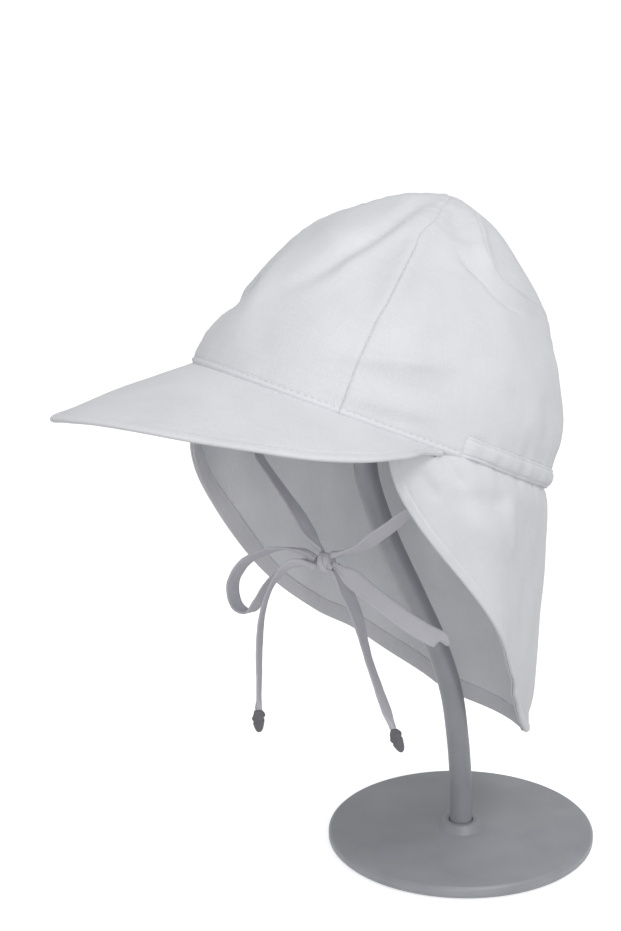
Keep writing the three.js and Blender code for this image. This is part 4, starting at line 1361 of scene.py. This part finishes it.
def woven_cotton(name, colour, dark, pitch=THREAD_PITCH, mottle=34.0):
    material, tree, shader, place = new_material(name)
    thread_uv = node(tree, "UVMap", uv_map="thread").outputs["UV"]
    split = node(tree, "SeparateXYZ", {0: thread_uv})
    sines, slubs = [], []
    for axis, scale, seed in ((0, (900, 70, 1), 3.1), (1, (70, 900, 1), 8.7)):
        scaled = node(tree, "Math", {0: split.outputs[axis], 1: math.pi / pitch}, operation="MULTIPLY")
        sines.append(node(tree, "Math", {0: scaled.outputs[0]}, operation="SINE").outputs[0])
        shift = (seed, seed * 0.37, 0)
        stretch = node(tree, "Mapping", {"Vector": thread_uv, "Location": shift, "Scale": scale})
        slubs.append(noise(tree, stretch.outputs[0], 1.0, 2.0))
    weave = node(tree, "Math", {0: sines[0], 1: sines[1]}, operation="MULTIPLY").outputs[0]
    threads = node(tree, "Math", {0: slubs[0], 1: slubs[1]}, operation="ADD").outputs[0]
    height = node(tree, "Math", {0: weave, 1: WEAVE_SHARE, 2: threads}, operation="MULTIPLY_ADD").outputs[0]
    fine = bump(tree, height, 0.5, 0.00013)
    rumple = bump(tree, noise(tree, place, 95.0, 3.0), 0.35, 0.0012, over=fine)
    cloud = noise(tree, place, mottle, 4.0)
    mixed = node(tree, "Math", {0: threads, 1: THREAD_TINT, 2: cloud}, operation="MULTIPLY_ADD").outputs[0]
    wire(tree, shader, {
        "Base Color": blend(tree, mixed, 0.5, dark, 1.0, colour), "Normal": rumple, "Roughness": 0.88,
        "Sheen Weight": 0.2, "Sheen Roughness": 0.5, "Specular IOR Level": 0.25,
    })
    return material


COTTON_OUT = woven_cotton("white_cotton", (0.83, 0.835, 0.86), (0.76, 0.765, 0.79))
# The inside faces get a brighter copy of the same cotton: painted light that stands for light coming through
# the thin cloth.
INSIDE_COTTON_PAINTED_LIGHT = woven_cotton("white_cotton_inside_painted_light", (0.93, 0.93, 0.925), (0.87, 0.87, 0.865))
COTTON_EDGE = woven_cotton("white_cotton_edge", (0.93, 0.935, 0.955), (0.87, 0.875, 0.895))
# The hem strip gets a darker copy of the same cotton: painted shade, where less light comes through the
# doubled cloth.
HEM_COTTON_PAINTED_SHADE = woven_cotton("white_cotton_hem_painted_shade", (0.72, 0.72, 0.75), (0.66, 0.66, 0.69))
COTTON_TAPE = woven_cotton("cotton_tape", (0.69, 0.685, 0.73), (0.63, 0.625, 0.67), TAPE_PITCH, 60.0)
# The knotted tail ends get a much darker copy of the tape cotton: painted shade on the tight knots.
TAPE_END_PAINTED_SHADE = woven_cotton("cotton_tape_end_painted_shade", (0.22, 0.22, 0.24), (0.17, 0.17, 0.185), TAPE_PITCH, 90.0)
THREAD = woven_cotton("sewing_thread", (0.8, 0.8, 0.82), (0.72, 0.72, 0.75), pitch=0.0002)
print("cloth materials are ready")

# %% [markdown]
# ## Painted steel and plastic
# The stem and base are steel under a satin grey paint. Paint on a bar isn't a mirror: it has a very fine
# orange peel, and its gloss changes a little from place to place. The rest is moulded plastic, a bit
# rougher.

# %% Build the stand's materials
def painted(name, colour, dark, roughness, metallic, peel):
    material, tree, shader, place = new_material(name)
    cloud = noise(tree, place, 55.0, 5.0)
    rough = node(tree, "MapRange", {"Value": cloud, "To Min": roughness - 0.05, "To Max": roughness + 0.07})
    skin = bump(tree, noise(tree, place, 1400.0, 2.0), peel, 0.00012)
    wire(tree, shader, {
        "Base Color": blend(tree, cloud, 0.35, dark, 0.65, colour), "Metallic": metallic,
        "Roughness": rough.outputs["Result"], "Normal": skin,
    })
    return material


STEEL_PAINT = painted("grey_painted_steel", (0.36, 0.37, 0.395), (0.32, 0.33, 0.355), 0.42, 0.1, 0.35)
REST_PLASTIC = painted("grey_plastic", (0.32, 0.33, 0.35), (0.29, 0.3, 0.32), 0.55, 0.0, 0.5)
print("stand materials are ready")

# %% Put the materials on
def dress(piece, *materials):
    piece.data.materials.clear()
    for material in materials:
        piece.data.materials.append(material)


# The hem strip takes the darker copy of the cotton: painted shade.
CLOTHS = {
    "flap_hem": (HEM_COTTON_PAINTED_SHADE, HEM_COTTON_PAINTED_SHADE), "peak": (COTTON_OUT, COTTON_OUT),
    "neck_flap": (COTTON_OUT, INSIDE_COTTON_PAINTED_LIGHT, COTTON_EDGE),
}
# Inner faces of the crown panels, band and flap take the brighter inside copy: painted light.
for node_name, piece in PIECES.items():
    dress(piece, *CLOTHS.get(node_name, (COTTON_OUT, INSIDE_COTTON_PAINTED_LIGHT)))
for piece in list(TAPES.values()) + [knot]:
    dress(piece, COTTON_TAPE)
# The knotted ends take the dark copy of the tape: painted shade.
for piece in (end_left, end_right):
    dress(piece, TAPE_END_PAINTED_SHADE)
for piece in THREADS:
    dress(piece, THREAD)
dress(stem, STEEL_PAINT)
dress(base, STEEL_PAINT)
dress(rest, REST_PLASTIC)
print("dressed pieces:", len(PIECES) + len(TAPES) + len(THREADS) + 6)

# %% [markdown]
# ## Floor and light
# The photograph is a high-key studio picture: white ground, hardly any shadow, the whole cap softly lit and
# a little darker towards the back. A bright world gives that even light, a high lamp on the wearer's left
# gives the folds their direction, a second lamp near the camera lights the flap and the ties, and the floor
# is pale enough to melt into the background.

# %% Floor, world and lamps
FLOOR_REACH = 12.0
FLOOR_LEVEL = -0.0005
ways = ((-1, -1), (1, -1), (1, 1), (-1, 1))
floor_corners = [(x * FLOOR_REACH, y * FLOOR_REACH, FLOOR_LEVEL) for x, y in ways]
floor_mesh = bpy.data.meshes.new("studio_floor")
floor_mesh.from_pydata(floor_corners, [], [(0, 1, 2, 3)])
floor = bpy.data.objects.new("studio_floor", floor_mesh)
bpy.context.scene.collection.objects.link(floor)
floor_paper, paper_tree, paper, _ = new_material("pale_paper")
wire(paper_tree, paper, {
    "Base Color": (0.86, 0.86, 0.86, 1), "Roughness": 0.9,
    "Emission Color": (1, 1, 1, 1), "Emission Strength": 0.6,
})
dress(floor, floor_paper)
floor.visible_diffuse = False

world = bpy.data.worlds.new("studio_white")
world.use_nodes = True
sky_tree = world.node_tree
rise = node(sky_tree, "SeparateXYZ", {0: node(sky_tree, "TexCoord").outputs["Generated"]}).outputs[2]
lift = node(sky_tree, "MapRange", {"Value": rise, "From Min": -1.0}).outputs["Result"]
shade = blend(sky_tree, lift, 0.3, (0.47, 0.47, 0.475), 0.7, (0.55, 0.555, 0.56))
wire(sky_tree, sky_tree.nodes["Background"], {"Color": shade, "Strength": 1.0})
bpy.context.scene.world = world


def soft_lamp(name, place, aim, size, power):
    lamp_data = bpy.data.lights.new(name, "AREA")
    lamp_data.shape = "SQUARE"
    lamp_data.size = size
    lamp_data.energy = power
    lamp = bpy.data.objects.new(name, lamp_data)
    lamp.location = place
    way = Vector(aim) - Vector(place)
    lamp.rotation_euler = way.to_track_quat("-Z", "Y").to_euler()
    bpy.context.scene.collection.objects.link(lamp)


soft_lamp("key_lamp", (0.99, -0.23, 1.63), (0, -0.06, 0.2), 0.6, 8.5)
soft_lamp("front_lamp", (1.15, -1.0, 0.6), (0, -0.03, 0.15), 0.7, 3.8)
bpy.context.scene.view_settings.view_transform = "Standard"
print("lamps and floor are in place")

# %% [markdown]
# ## Finish
# The pieces are built to the imported model's size. The last call brings the scene up to date.

# %% Finish the scene
bpy.context.view_layer.update()
